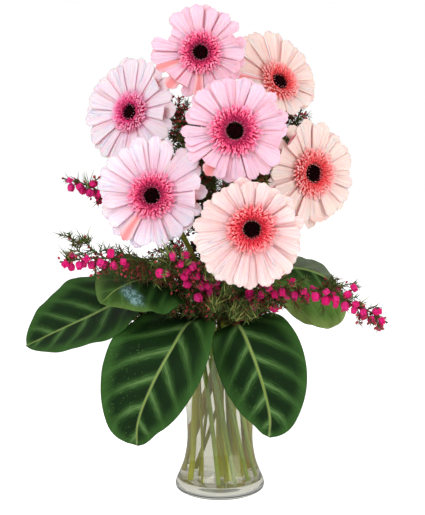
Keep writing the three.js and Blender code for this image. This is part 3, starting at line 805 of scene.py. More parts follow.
class Shade:
    """The nodes of one finish."""

    def __init__(self, name, **settings):
        self.material = bpy.data.materials.new(name)
        self.material.use_nodes = True
        self.tree = self.material.node_tree
        self.surface = self.tree.nodes["Principled BSDF"]
        for socket, value in settings.items():
            self.surface.inputs[socket.replace("_", " ")].default_value = value

    def node(self, kind, **settings):
        made = self.tree.nodes.new(kind)
        for name, value in settings.items():
            setattr(made, name, value)
        return made

    def feed(self, socket, value):
        if isinstance(value, Field):
            self.tree.links.new(value.socket, socket)
        elif socket.type == "RGBA":
            socket.default_value = (*value, 1)
        else:
            socket.default_value = value

    def math(self, operation, *values):
        made = self.node("ShaderNodeMath", operation=operation)
        for socket, value in zip(made.inputs, values):
            self.feed(socket, value)
        return Field(self, made.outputs[0])

    def uv(self):
        split = self.node("ShaderNodeSeparateXYZ")
        self.tree.links.new(self.node("ShaderNodeUVMap", uv_map="UVMap").outputs[0], split.inputs[0])
        return Field(self, split.outputs[0]), Field(self, split.outputs[1])

    def place(self):
        """Object coordinates, in metres."""
        return Field(self, self.node("ShaderNodeTexCoord").outputs["Object"])

    def height(self):
        split = self.node("ShaderNodeSeparateXYZ")
        self.feed(split.inputs[0], self.place())
        return Field(self, split.outputs[2])

    def attribute(self, name):
        return Field(self, self.node("ShaderNodeAttribute", attribute_name=name).outputs["Fac"])

    def vector(self, x, y, z):
        made = self.node("ShaderNodeCombineXYZ")
        for socket, value in zip(made.inputs, (x, y, z)):
            self.feed(socket, value)
        return Field(self, made.outputs[0])

    def noise(self, place, scale, detail=2.0):
        made = self.node("ShaderNodeTexNoise")
        self.feed(made.inputs["Vector"], place)
        made.inputs["Scale"].default_value = scale
        made.inputs["Detail"].default_value = detail
        return Field(self, made.outputs["Fac"])

    def cells(self, place, scale):
        made = self.node("ShaderNodeTexVoronoi")
        self.feed(made.inputs["Vector"], place)
        made.inputs["Scale"].default_value = scale
        return Field(self, made.outputs["Distance"])

    def soft(self, value, low, high):
        """0 at low, 1 at high, and a soft step between them."""
        made = self.node("ShaderNodeMapRange", interpolation_type="SMOOTHSTEP")
        for socket, number in zip(made.inputs, (value, low, high, 0.0, 1.0)):
            self.feed(socket, number)
        return Field(self, made.outputs[0])

    def mix(self, factor, first, second, blend_type="MIX"):
        made = self.node("ShaderNodeMix", data_type="RGBA", blend_type=blend_type)
        self.feed(made.inputs[0], factor)
        self.feed(made.inputs[6], first)
        self.feed(made.inputs[7], second)
        return Field(self, made.outputs[2])

    def bump(self, height, depth):
        made = self.node("ShaderNodeBump")
        made.inputs["Distance"].default_value = depth
        self.feed(made.inputs["Height"], height)
        self.tree.links.new(made.outputs[0], self.surface.inputs["Normal"])

    def let_lamps_through(self):
        """Clear surfaces cast no shadow and pass the light that what is inside them gathers."""
        light = self.node("ShaderNodeLightPath")
        shadow, diffuse = (Field(self, light.outputs[name]) for name in ("Is Shadow Ray", "Is Diffuse Ray"))
        self.feed(self.surface.inputs["Alpha"], 1 - self.math("MAXIMUM", shadow, diffuse))

    def paint(self, colour, roughness=None):
        self.feed(self.surface.inputs["Base Color"], colour)
        if roughness is not None:
            self.feed(self.surface.inputs["Roughness"], roughness)
        return self.material


def scaled(colour, share):
    """A colour made lighter or darker by a share."""
    return [min(1.0, channel * share) for channel in colour]


def ray_finish(name, colour, tip, streak):
    """A ray's face: pale with parallel veins, streaked and deeper towards the collar."""
    shade = Shade(name, Specular_IOR_Level=0.12, Subsurface_Weight=0.35, Subsurface_Scale=0.004)
    u, v = shade.uv()
    tone = shade.attribute("tone")
    across = shade.math("ABSOLUTE", u * 2 - 1)
    strands = shade.noise(shade.vector(u * 9 + tone * 40, v * 1.1, tone * 9), 1.6, 3)
    veins = shade.noise(shade.vector(u * 22 + tone * 40, v * 0.7, 0.3), 1.0, 1)
    deep = shade.soft(strands + (0.5 - v) * 0.4 + (tone - 0.5) * 0.3, 0.5, 0.95)
    base = shade.mix(shade.soft(v, 0.4, 0.95), colour, tip)
    base = shade.mix(deep * 0.42, base, streak)
    base = shade.mix((1 - shade.soft(v + strands * 0.12, 0.28, 0.46)) * 0.75, base, streak)
    base = shade.mix(shade.soft(veins, 0.5, 0.7) * 0.36, base, streak)
    # Painted shade: the edges of a ray's root half drawn towards the streak colour, as shade where
    # neighbouring rays overlap
    overlap_shade = shade.soft(across, 0.84, 1.0) * (1 - shade.soft(v, 0.5, 0.82))
    base = shade.mix(overlap_shade * 0.4, base, streak)
    shade.bump(veins * 0.6 + strands, 0.0008)
    return shade.paint(base, 0.55 + strands * 0.2)


def ray_back_finish(colour):
    """The coral back of a ray, paler towards its edges."""
    shade = Shade(
        "ray_back", Roughness=0.7, Specular_IOR_Level=0.15, Subsurface_Weight=0.2, Subsurface_Scale=0.003)
    u, v = shade.uv()
    tone = shade.attribute("tone")
    strands = shade.noise(shade.vector(u * 16 + tone * 40, v * 0.9, tone * 9), 1.4, 2)
    across = shade.math("ABSOLUTE", u * 2 - 1)
    base = shade.mix(shade.soft(across + strands * 0.5, 0.4, 1.1) * 0.9, colour, (0.93, 0.56, 0.6))
    base = shade.mix(shade.soft(strands, 0.45, 0.75) * 0.4, base, (0.93, 0.42, 0.43))
    shade.bump(strands, 0.0005)
    return shade.paint(base)


def floret_finish(name, deep, bright, tip):
    """Short florets: dark at the root, bright along them and pale at the tips of the outer ones, partly
    painted shade and highlight.
    """
    shade = Shade(name, Roughness=0.6, Specular_IOR_Level=0.12, Subsurface_Weight=0.1, Subsurface_Scale=0.001)
    v = shade.uv()[1]
    tone = shade.attribute("tone")
    speckle = shade.noise(shade.place(), 800, 2)
    # The darker roots are partly painted shade, and the paler tips partly painted highlight
    base = shade.mix(shade.soft(v * 0.45 + tone * 0.8 + (speckle - 0.5) * 0.4, 0.15, 0.8), deep, bright)
    tip_paleness_and_highlight = shade.soft(v * 0.5 + tone * 0.6 + (speckle - 0.5) * 0.9, 0.68, 1.15)
    base = shade.mix(tip_paleness_and_highlight * 0.85, base, tip)
    return shade.paint(base)


def disc_finish():
    """The near-black buds of the centre."""
    shade = Shade("disc", Roughness=0.7, Specular_IOR_Level=0.04)
    grain = shade.noise(shade.place(), 1400, 3)
    tone = shade.attribute("tone")
    base = shade.mix(
        shade.soft(grain + tone * 0.3, 0.45, 0.9), (0.0015, 0.0006, 0.0008), (0.022, 0.0015, 0.004))
    shade.bump(grain, 0.0003)
    return shade.paint(base)


def pollen_finish():
    """The pale tips of the stamens round the centre."""
    shade = Shade("pollen", Roughness=0.6, Specular_IOR_Level=0.2)
    grain = shade.noise(shade.place(), 2500, 2)
    return shade.paint(shade.mix(grain, (0.5, 0.14, 0.18), (0.85, 0.45, 0.47)))


def stem_finish(name, low, high, blush, rib=(0.45, 0.48, 0.06)):
    """A green stem with faint ribs, browner in places."""
    shade = Shade(
        name, Roughness=0.55, Specular_IOR_Level=0.1, Subsurface_Weight=0.08, Subsurface_Scale=0.002)
    u, v = shade.uv()
    tone = shade.attribute("tone")
    turn = u * TURN
    round_x = shade.math("COSINE", turn)
    round_y = shade.math("SINE", turn)
    ribs = shade.noise(shade.vector(round_x * 3, round_y * 3, v * 5 + tone * 20), 1.5, 3)
    patches = shade.noise(shade.vector(round_x * 0.5, round_y * 0.5, v * 9 + tone * 30), 1.0, 3)
    base = shade.mix(shade.soft(shade.height(), 0.02, 0.3), low, high)
    base = shade.mix(shade.soft(ribs, 0.35, 0.7) * 0.5, base, rib)
    base = shade.mix(shade.soft(patches + tone * 0.3, 0.5, 0.85) * 0.75, base, blush)
    shade.bump(ribs, 0.0005)
    return shade.paint(base)


def calyx_finish():
    """The green cup behind a head and its bracts, with pale tips."""
    shade = Shade("calyx", Roughness=0.6, Specular_IOR_Level=0.2)
    grain = shade.noise(shade.place(), 500, 3)
    tone = shade.attribute("tone")
    base = shade.mix(grain, (0.05, 0.11, 0.03), (0.14, 0.24, 0.06))
    base = shade.mix(shade.soft(tone, 0.6, 1.0) * 0.6, base, (0.35, 0.36, 0.2))
    shade.bump(grain, 0.0004)
    return shade.paint(base)


def leaf_finish(look):
    """A leaf's face: dark between feathered light bands that fade towards the mid-green margin, with painted
    sunlight, sheen and reflection where a leaf has them.
    """
    shade = Shade("leaf_face", Specular_IOR_Level=0.12)
    u, v = shade.uv()
    tone = shade.attribute("tone")
    from_midrib = shade.attribute("from_midrib")
    from_edge = shade.attribute("from_edge")
    bands = shade.attribute("bands")
    lit = shade.attribute("lit")
    painted_sheen = shade.attribute("painted_sheen")
    painted_reflection = shade.attribute("painted_reflection")
    side = shade.math("GREATER_THAN", u, 0.5)
    across = shade.math("ABSOLUTE", u * 2 - 1)
    ripple = shade.noise(shade.place(), 28, 3) - 0.5
    near = shade.noise(shade.place(), 60, 4)
    vein = (v - shade.attribute("lean")) * SIDE_VEINS + side * 0.5 + tone + ripple * 0.25
    spread = shade.math("PINGPONG", vein, 0.5)
    feather = shade.noise(shade.vector(vein * 8, across * 1.6, tone * 7), 3.0, 4) - 0.5
    frayed = spread + feather * 0.55 + across * 0.07
    band = 1 - shade.soft(frayed, -0.02, 0.22)
    halo = 1 - shade.soft(frayed, 0.06, 0.38)
    fade = (1 - shade.soft(across + ripple * 0.5, 0.1, 0.8) * 0.85) * bands
    dark = shade.mix(near, look.dark, scaled(look.dark, 2.0))
    base = shade.mix(halo * (0.55 + feather), dark, look.margin)
    margin = 1 - shade.soft(from_edge + ripple * 14 + feather * 10, 0.5, 17.0)
    base = shade.mix(margin * 0.8, base, look.margin)
    base = shade.mix(band * fade * (0.4 + near * 0.6), base, look.light)
    core = 1 - shade.soft(spread + ripple * 0.04, 0.0, 0.05)
    base = shade.mix(core * (fade ** 2) * 0.2, base, look.midrib)
    rib = 1 - shade.soft(from_midrib + ripple * 0.8 + v * 1.1, 0.9, 3.0)
    base = shade.mix(rib * 0.85 * bands, base, look.midrib)
    base = shade.mix(lit * (0.6 + near * 0.6), base, LEAF_LIT)
    base = shade.mix(lit * margin * 0.7, base, LEAF_LIT_MARGIN)
    base = shade.mix(lit * core * 0.45, base, LEAF_LIT_VEIN)
    # Painted sheen: a pale veil over the leaf's upper half
    base = shade.mix(painted_sheen * (0.6 + feather), base, LEAF_PAINTED_SHEEN)
    # Painted reflection: a bluish glare on one leaf, with bright glints in a wrinkled pattern
    glint_pattern = shade.noise(shade.place(), 420, 4) + (near - 0.5) * 0.6
    painted_reflection_band = shade.soft(painted_reflection + (near - 0.5) * 0.5, 0.15, 0.85)
    base = shade.mix(painted_reflection_band * 0.8, base, PAINTED_REFLECTION_TINT)
    base = shade.mix(shade.soft(glint_pattern, 0.46, 0.6) * painted_reflection_band * 0.75, base, PAINTED_REFLECTION_GLINTS)
    # Water drops painted as lighter specks within wet patches: the drops are real, the light of their glints
    # is painted
    drop_glints = 1 - shade.soft(shade.cells(shade.place(), 260), 0.1, 0.2)
    wet = shade.soft(shade.noise(shade.place(), 16, 1) + u * 0.3, 0.62, 0.8)
    base = shade.mix(drop_glints * wet * 0.4, base, look.light)
    fine = shade.noise(shade.vector(vein * 22, across * 1.5, 0.0), 1.0, 2)
    shade.bump(fine * 0.5 + near * 0.8, 0.0006)
    return shade.paint(base, 0.42 + near * 0.2)


def leaf_back_finish(look):
    """The paler, duller back of a leaf."""
    shade = Shade("leaf_back", Specular_IOR_Level=0.25)
    u, v = shade.uv()
    tone = shade.attribute("tone")
    side = shade.math("GREATER_THAN", u, 0.5)
    vein = (v - shade.attribute("lean")) * SIDE_VEINS + side * 0.5 + tone
    line = 1 - shade.soft(shade.math("PINGPONG", vein, 0.5), 0.02, 0.14)
    near = shade.noise(shade.place(), 70, 4)
    base = shade.mix(near, (0.04, 0.1, 0.03), (0.08, 0.17, 0.06))
    base = shade.mix(line * 0.6, base, look.midrib)
    shade.bump(near + line, 0.0006)
    return shade.paint(base, 0.45 + near * 0.2)


def needle_finish():
    """Boronia needles and twigs, from red-brown to yellow-green by their tone."""
    shade = Shade("needles", Roughness=0.55, Specular_IOR_Level=0.15)
    tone = shade.attribute("tone")
    patches = shade.noise(shade.place(), 60, 2)
    value = tone + (patches - 0.5) * 0.3
    base = shade.mix(shade.soft(value, 0.05, 0.4), (0.15, 0.035, 0.02), (0.07, 0.085, 0.02))
    base = shade.mix(shade.soft(value, 0.4, 0.75), base, (0.045, 0.105, 0.025))
    base = shade.mix(shade.soft(value, 0.7, 1.05), base, (0.27, 0.3, 0.08))
    base = shade.mix(1 - shade.soft(shade.height(), 0.13, 0.18), base, (0.3, 0.3, 0.03))
    return shade.paint(base)


def bell_finish(colour):
    """Hot pink bells, paler at their lips and deeper at the stalk, with lighter patches that are painted
    highlights.
    """
    shade = Shade(
        "bells", Roughness=0.5, Specular_IOR_Level=0.15, Subsurface_Weight=0.15, Subsurface_Scale=0.002)
    v = shade.uv()[1]
    tone = shade.attribute("tone")
    grain = shade.noise(shade.place(), 260, 3)
    base = shade.mix(shade.soft(v + grain * 0.3, 0.15, 0.55), scaled(colour, 0.3), colour)
    base = shade.mix(shade.soft(tone, 0.45, 0.9) * 0.6, base, (0.45, 0.01, 0.14))
    # Painted highlights: lighter pink patches by grain and tone
    base = shade.mix(shade.soft(grain + tone * 0.4, 0.5, 0.95) * 0.35, base, (0.88, 0.06, 0.3))
    return shade.paint(base)


def bud_finish(colour):
    """Closed buds, maroon to brick red by their tone."""
    shade = Shade("buds", Roughness=0.5, Specular_IOR_Level=0.2)
    tone = shade.attribute("tone")
    grain = shade.noise(shade.place(), 420, 2)
    base = shade.mix(shade.soft(tone + (grain - 0.5) * 0.5, 0.2, 0.9), colour, (0.42, 0.045, 0.055))
    return shade.paint(base)


def glass_finish(tint):
    """Clear glass with faint waves in its surface."""
    shade = Shade("glass", Roughness=0.0, IOR=1.5, Transmission_Weight=1.0)
    shade.let_lamps_through()
    waves = shade.noise(shade.place(), 14, 1)
    shade.bump(waves, 0.0004)
    return shade.paint(shade.mix(waves, tint, scaled(tint, 1.04)))


def water_finish(tint):
    """Clear water, hardly clouded."""
    shade = Shade("water", Roughness=0.0, IOR=1.333, Transmission_Weight=1.0)
    shade.let_lamps_through()
    cloud = shade.noise(shade.place(), 9, 1)
    return shade.paint(shade.mix(cloud, tint, scaled(tint, 1.03)))


def floor_finish(colour):
    """A plain pale floor with hardly visible mottling, lit up to the surround's white."""
    shade = Shade("floor", Roughness=0.85, Specular_IOR_Level=0.1)
    shade.surface.inputs["Emission Color"].default_value = (1, 1, 1, 1)
    seen = Field(shade, shade.node("ShaderNodeLightPath").outputs["Is Camera Ray"])
    shade.feed(shade.surface.inputs["Emission Strength"], seen * FLOOR_GLOW_SEEN + FLOOR_GLOW)
    cloud = shade.noise(shade.place(), 3, 2)
    return shade.paint(shade.mix(cloud, colour, scaled(colour, 1.02)))


# Vase and water


def vase_outside(steps):
    """The vase's outside from its foot to its rim, as radii and heights."""
    points = [Vector(point) for point in VASE_OUTLINE]
    return [tuple(point) for point in spline([points[0], *points, points[-1]], steps, 0.0)]


def wall_radius(height):
    outside = vase_outside(12)
    above = next(index for index, (_, level) in enumerate(outside) if level >= height)
    (low_radius, low), (high_radius, high) = outside[above - 1], outside[above]
    return lerp(low_radius, high_radius, (height - low) / (high - low)) - VASE_WALL


def rounded_rim(radius, steps):
    """The fire-polished edge between the outside and the inside."""
    half = VASE_WALL / 2
    arc = [math.pi * (step + 1) / (steps + 1) for step in range(steps)]
    return [(radius - half + half * math.cos(a), VASE_HEIGHT - RIM_DEPTH * (1 - math.sin(a))) for a in arc]


def inside_profile(top, inset, steps):
    """The inside of the vase from a height down to its floor, inset from the glass."""
    levels = [lerp(top, INSIDE_CORNER, step / steps) for step in range(steps + 1)]
    wall = [(wall_radius(level) - inset, level) for level in levels]
    floor = VASE_FLOOR + inset
    floor_radius = wall_radius(INSIDE_CORNER) - FLOOR_CORNER
    bend = [
        (lerp(wall[-1][0], floor_radius, 1 - math.cos(turn)), lerp(INSIDE_CORNER, floor, math.sin(turn)))
        for turn in (math.pi / 8, math.pi / 4, 3 * math.pi / 8, math.pi / 2)
    ]
    return wall + bend + [(0.5 * floor_radius, floor), (0, floor)]


def make_glass(look):
    top = VASE_HEIGHT - RIM_DEPTH
    outside = vase_outside(8)
    mouth_radius = outside.pop()[0]
    rim = [(mouth_radius, top), *rounded_rim(mouth_radius, 5)]
    glass = Piece("glass")
    glass.lathe([*VASE_UNDERSIDE, *outside, *rim, *inside_profile(top, 0, 34)], VASE_SIDES)
    glass.finish([glass_finish(look.glass_tint)], "glass", ["vase"])


def make_water(look):
    """Water that laps up the glass a little at its edge."""
    side = inside_profile(WATER_LEVEL, -WATER_OVERLAP, 30)
    edge = wall_radius(WATER_LEVEL)
    surface = [
        (edge + WATER_OVERLAP, WATER_LEVEL + 0.4),
        (edge - 0.6, WATER_LEVEL),
        (edge - 3, WATER_LEVEL - 0.5),
        (0, WATER_LEVEL - 0.5),
    ]
    water = Piece("water_fill")
    water.lathe([*reversed(side), *surface], VASE_SIDES)
    water.finish([water_finish(look.water_tint)], "water", ["water"])


# Gerberas


def head_matrix(head):
    """A head's place, with Z out of its face."""
    turning = Matrix.Rotation(math.radians(head["turn"]), 3, "Z")
    right = turning @ X_AXIS
    facing = Matrix.Rotation(math.radians(-head["tilt"]), 3, right) @ (turning @ TOWARDS_CAMERA)
    up = facing.cross(right)
    matrix = Matrix((right, up, facing)).transposed().to_4x4()
    matrix.translation = Vector(head["centre"])
    return matrix


def ray_outline(share):
    """The share of its full width that a ray has at a share of its length."""
    width = 0.2 + 0.8 * min(1, share / 0.9)
    return width * (1 - 0.16 * max(0, (share - 0.88) / 0.12) ** 2)


def add_ray(piece, matrix, head, layer, angle, width, curl, turned, growth, rng):
    """One ray, built along its spine, with its face to the front unless it is turned."""
    excess, side = head["skew"]
    longer = growth + rng.uniform(*RAY_GROWTH) + excess * math.cos(angle - math.radians(side))
    reach = head["radius"] * layer["length"] * longer - RAY_ROOT
    rise = layer["rise"] + rng.uniform(*RAY_RISE)
    bend = rng.uniform(*RAY_BEND)
    cup = rng.uniform(*RAY_CUP)
    roll = rng.uniform(*RAY_ROLL)
    sway = rng.uniform(*RAY_SWAY)
    frill = rng.uniform(0, TURN)
    steps = 2 * RAY_ROWS
    x, z = RAY_ROOT, layer["height"]
    spine = []
    for step in range(steps + 1):
        share = step / steps
        slope = math.atan((rise - 2 * layer["droop"] * share) / reach)
        slope += bend * max(0, share - 0.45) + curl * smooth(share, 0.58, 0.92)
        spine.append((x, z, slope))
        x += reach / steps * math.cos(slope)
        z += reach / steps * math.sin(slope)
    turning = matrix @ Matrix.Rotation(angle, 4, "Z")

    def place(u, v):
        a = 2 * u - 1 if turned else 1 - 2 * u
        notch = 0.032 * math.exp(-(((abs(a) - 0.45) / 0.16) ** 2)) * v ** 12
        share = v * (1 - 0.1 * abs(a) ** 3 * v ** 5) - notch
        link = min(int(share * steps), steps - 1)
        rest = share * steps - link
        x, z, slope = (lerp(spine[link][k], spine[link + 1][k], rest) for k in range(3))
        y = 0.5 * a * width * ray_outline(v) + sway * share
        lift = (0.7 + cup) * a * a * share + 0.2 * math.cos(3 * math.pi * a) * math.sin(math.pi * share)
        lift += roll * a * 0.5 * width * share + 0.25 * math.sin(9 * share + frill) * abs(a) ** 3 * share
        return turning @ Vector((x - math.sin(slope) * lift, y, z + math.cos(slope) * lift))

    piece.mark(piece.sheet(RAY_COLUMNS, RAY_ROWS, place), rng.random())


def make_rays(index, head, look, face, back):
    rng = random.Random(RAY_SEED + index)
    rays = Piece(f"rays_{index + 1}")
    matrix = head_matrix(head)
    count = look.rays_per_layer
    width = look.ray_width / MM * head["radius"] / RAY_WIDTH_AT_RADIUS
    for row, layer in enumerate(RAY_LAYERS):
        for place in range(count):
            angle = TURN * (place + 0.5 * row) / count + 0.2 * index + rng.uniform(*RAY_TURN)

            def near(degrees):
                return abs((angle - math.radians(degrees) + math.pi) % TURN - math.pi) < 0.5 * TURN / count

            curl = sum(amount for degrees, amount in head["curled"] if row == 0 and near(degrees))
            turned = any(row == layer_row and near(degrees) for degrees, layer_row in head["turned"])
            growth = STUNTED if any(near(degrees) for degrees in head["short"]) else 1.0
            broad = rng.uniform(*RAY_BREADTH) * (0.85 if turned and row == 0 else 1.0)
            add_ray(rays, matrix, head, layer, angle, width * broad, math.radians(curl), turned, growth, rng)
    slot = {"rose": "pale", "coral": "peach"}.get(head["finish"], head["finish"])
    piece = rays.finish([face, back], f"ray_{slot}", [f"gerbera_{index + 1}_rays"])
    add_wall(piece, look.ray_thickness, back_finish=1)


def add_floret(piece, matrix, row, size, angle, rng):
    root, tip, height, width, _, run = row
    tip += rng.uniform(*FLORET_REACH)
    height += rng.uniform(*FLORET_HEIGHT)
    sideways = rng.uniform(*FLORET_SIDEWAYS) * tip
    root_point = Vector((size * root, 0, 0.2))
    knee = Vector((size * lerp(root, tip, 0.2), 0, 0.95 * height))
    tip_point = Vector((size * tip, sideways, height - 0.4))
    turning = matrix @ Matrix.Rotation(angle, 4, "Z")

    def place(u, v):
        a = 1 - 2 * u
        point = root_point.lerp(knee, v).lerp(knee.lerp(tip_point, v), v)
        half = 0.5 * width * (0.55 + 0.45 * v) * (1 - 0.6 * v ** 8)
        return turning @ (point + Vector((0.3 * a * a, a * half, 0.45 * a * a)))

    piece.mark(piece.sheet(2, 5, place), run + rng.uniform(-0.2, 0.2))


def make_florets(index, head, finish):
    rng = random.Random(FLORET_SEED + index)
    florets = Piece(f"florets_{index + 1}")
    matrix = head_matrix(head)
    size = head["collar"]
    bed = [(size * radius, height) for radius, height in COLLAR_BED]
    florets.mark(florets.lathe(bed, 40, matrix), 0.3)
    for row in FLORET_ROWS:
        count = row[4]
        start = rng.uniform(0, 1)
        for place in range(count):
            angle = TURN * (place + start + rng.uniform(-0.3, 0.3)) / count
            add_floret(florets, matrix, row, size, angle, rng)
    slot = "floret_red" if head["finish"] in ("peach", "coral") else "floret_magenta"
    piece = florets.finish([finish], slot, [f"gerbera_{index + 1}_florets"])
    add_wall(piece, FLORET_THICKNESS * MM)


def make_disc(index, head, buds, pollen):
    """A low dome covered with buds, and a ring of stamens round it."""
    rng = random.Random(DISC_SEED + index)
    disc = Piece(f"disc_{index + 1}")
    matrix = head_matrix(head)
    facing = matrix.to_3x3() @ UP
    size = DISC_RADIUS * head["collar"]
    rises = [0.5 * math.pi * step / DOME_STEPS for step in range(1, DOME_STEPS + 1)]
    dome = [(DOME_SHARE * size * math.cos(rise), DISC_HEIGHT * math.sin(rise)) for rise in rises]
    disc.lathe([(0, 0.1), (DOME_SHARE * size, 0.1), *dome], 24, matrix)
    for place in range(DISC_BUDS):
        radius = 0.97 * size * math.sqrt((place + 0.5) / DISC_BUDS) * rng.uniform(0.9, 1.08)
        height = DISC_HEIGHT * math.sqrt(max(0, 1 - (radius / size) ** 2)) + 0.35
        centre = matrix @ round_point(radius, place * GOLDEN_ANGLE, height)
        disc.mark(disc.ball(centre, facing, rng.uniform(0.75, 1.1), 1.1), rng.random())
    for place in range(STAMENS):
        angle = TURN * (place + rng.uniform(-0.3, 0.3)) / STAMENS
        radius = size + rng.uniform(0.0, 1.9)
        root = matrix @ round_point(radius, angle, 0.5)
        tip = matrix @ round_point(radius, angle, STAMEN_HEIGHT + rng.uniform(-0.5, 0.5))
        disc.mark(disc.spike(root, tip, 0.5), rng.random())
        if place % 2:
            disc.mark(disc.ball(tip, facing, 0.42, 0.6), rng.random(), finish=1)
    disc.finish([buds, pollen], "disc", [f"gerbera_{index + 1}_disc"])


def make_stem(index, head, stem, calyx):
    """A leafless stem with the cup behind its head and the cup's bracts."""
    rng = random.Random(STEM_SEED + index)
    matrix = head_matrix(head)
    facing = matrix.to_3x3() @ UP
    top = -PLATE_DEPTH - PLATE_INSET
    end = Vector(head["centre"]) + facing * (top - 0.8 * CALYX_DEPTH)
    piece = Piece(f"stem_{index + 1}")
    points = rise_to(head["slot"], end, facing * head["neck"])
    piece.mark(piece.tube(points, lambda v: STEM_RADIUS * (1.14 - 0.26 * v), 18), rng.random())
    cup = [
        (0, top - CALYX_DEPTH),
        (0.9 * STEM_RADIUS, top - CALYX_DEPTH),
        *((CALYX_RADIUS * radius, top - CALYX_DEPTH * depth) for radius, depth in CALYX_OUTLINE),
        (PLATE_RADIUS, top + 0.6 * PLATE_DEPTH),
        (PLATE_RADIUS - 0.6, -PLATE_INSET),
        (0, -PLATE_INSET),
    ]
    piece.mark(piece.lathe(cup, 32, matrix), 0.2, finish=1)
    for row in range(BRACT_ROWS):
        for place in range(BRACTS_PER_ROW):
            angle = TURN * (place + 0.5 * row) / BRACTS_PER_ROW + rng.uniform(-0.06, 0.06)
            add_bract(piece, matrix, top, row, angle)
    piece.finish([stem, calyx], "stem", [f"gerbera_{index + 1}_stem"])


def add_bract(piece, matrix, top, row, angle):
    """One narrow bract that lies against the cup."""
    low = top - CALYX_DEPTH * (0.86 - 0.22 * row)
    length = 0.5 * CALYX_DEPTH
    turning = matrix @ Matrix.Rotation(angle, 4, "Z")

    def place(u, v):
        a = 2 * u - 1
        height = low + length * v
        share = (height - (top - CALYX_DEPTH)) / CALYX_DEPTH
        radius = CALYX_RADIUS * (0.3 + 0.72 * min(1, share) ** 0.62) + 0.25 + 0.9 * v * v
        half = 1.7 * (1 - v ** 2.5) + 0.1
        return turning @ Vector((radius - 0.5 * a * a, a * half, height))

    verts = piece.sheet(2, 4, place)
    piece.mark(verts, 0.9, finish=1)
    faces = list({face for vert in verts for face in vert.link_faces})
    bmesh.ops.solidify(piece.bm, geom=faces, thickness=0.35)


# Leaves


def leaf_outline(share):
    return max(LEAF_TIP, math.sin(math.pi * min(max(share, 0), 1)) ** LEAF_FULLNESS)


def leaf_facing(leaf, share):
    base, middle, tip = vectors(leaf["facing"])
    if share < 0.5:
        return base.lerp(middle, 2 * share)
    return middle.lerp(tip, 2 * share - 1)


def make_blade(index, leaf, midrib, look, face, back):
    """A blade that puffs up between its side veins, with what its finish reads at each point."""
    blade = Piece(f"leaf_blade_{index + 1}", (
        "tone", "from_midrib", "from_edge", "lean", "bands", "lit", "painted_sheen", "painted_reflection"))
    shift = 0.23 * index

    def half_width(u, v):
        return leaf["half_width"][0 if u > 0.5 else 1] * leaf_outline(v)

    def lean(u, v):
        """How far towards the tip a side vein has run."""
        across = abs(1 - 2 * u)
        return VEIN_SLOPE * half_width(u, v) * across / midrib.length + VEIN_BEND * across ** 3

    def place(u, v):
        along = midrib.along(v)
        facing = leaf_facing(leaf, v)
        facing = (facing - along * facing.dot(along)).normalized()
        side = Vector(leaf["side"]) if "side" in leaf else facing.cross(along)
        across = 1 - 2 * u
        a = abs(across)
        width = half_width(u, v)
        reach = width * a
        lift = math.radians(leaf["lift"][0 if u > 0.5 else 1])
        wave = LEAF_WAVE * math.sin(TURN * LEAF_WAVES * v + 2 * across) * across ** 2
        wave += 0.5 * math.sin(TURN * 7.3 * v + 5 * across + index) * across ** 4
        vein = (v - lean(u, v)) * SIDE_VEINS + (0.5 if u > 0.5 else 0) + shift
        between = abs((vein + 0.5) % 1 - 0.5)
        puff = 0.9 * (1 - math.exp(-((between / 0.16) ** 2))) * (1 - a ** 5)
        puff *= min(1, reach / 9) * min(1, width / 25)
        groove = 0.5 * math.exp(-((reach / 2.2) ** 2))
        point = midrib.at(v) + side * (math.copysign(1, across) * reach * math.cos(lift))
        return point + facing * (reach * math.sin(lift) + wave + puff - 0.45 - groove)

    def extents(u, v):
        reach = half_width(u, v) * abs(1 - 2 * u)
        return {
            "tone": shift,
            "from_midrib": reach,
            "from_edge": half_width(u, v) - reach,
            "lean": lean(u, v),
            "bands": leaf.get("bands", 1.0),
            "lit": leaf.get("lit", 0.0) * (smooth(v, 0.5, 0.95) if "painted_reflection" in leaf else smooth(u, 0.5, 0.8)),
            "painted_sheen": leaf.get("painted_sheen", 0.0) * (1 - smooth(u, 0.42, 0.52)),
            "painted_reflection": leaf.get("painted_reflection", 0.0) * math.exp(-(((v - 0.73) / 0.085) ** 2 + ((u - 0.3) / 0.2) ** 2)),
        }

    blade.sheet(LEAF_COLUMNS, LEAF_ROWS, place, extents)
    piece = blade.finish([face, back], "leaf", [f"leaf_{index + 1}"])
    add_wall(piece, look.thickness, back_finish=1, offset=0.0)


def make_leaf_stalk(index, leaf, midrib, finish):
    """A stalk up from the vase's floor, which runs on as the raised midrib behind the blade."""
    base = midrib.at(BLADE_STARTS)
    mouth = bundle_point(leaf["slot"], VASE_HEIGHT)
    arriving = midrib.along(0) * BEND_REACH * (base - mouth).length
    points = rise_to(leaf["slot"], base, arriving)
    stem_rows = len(points)
    for step in range(1, RIB_STEPS + 1):
        share = BLADE_STARTS + RIB_REACH * step / RIB_STEPS
        points.append(midrib.at(share) - leaf_facing(leaf, share).normalized() * lerp(1.9, 0.55, share))
    rows = len(points) - 1

    def radius(v):
        beyond = v * rows - stem_rows
        return STALK_RADIUS if beyond < 0 else lerp(2.0, 0.35, beyond / RIB_STEPS)

    stalk = Piece(f"leaf_stalk_{index + 1}")
    stalk.mark(stalk.tube(points, radius, 14), 0.15 * index)
    stalk.finish([finish], "leaf")


# Boronia


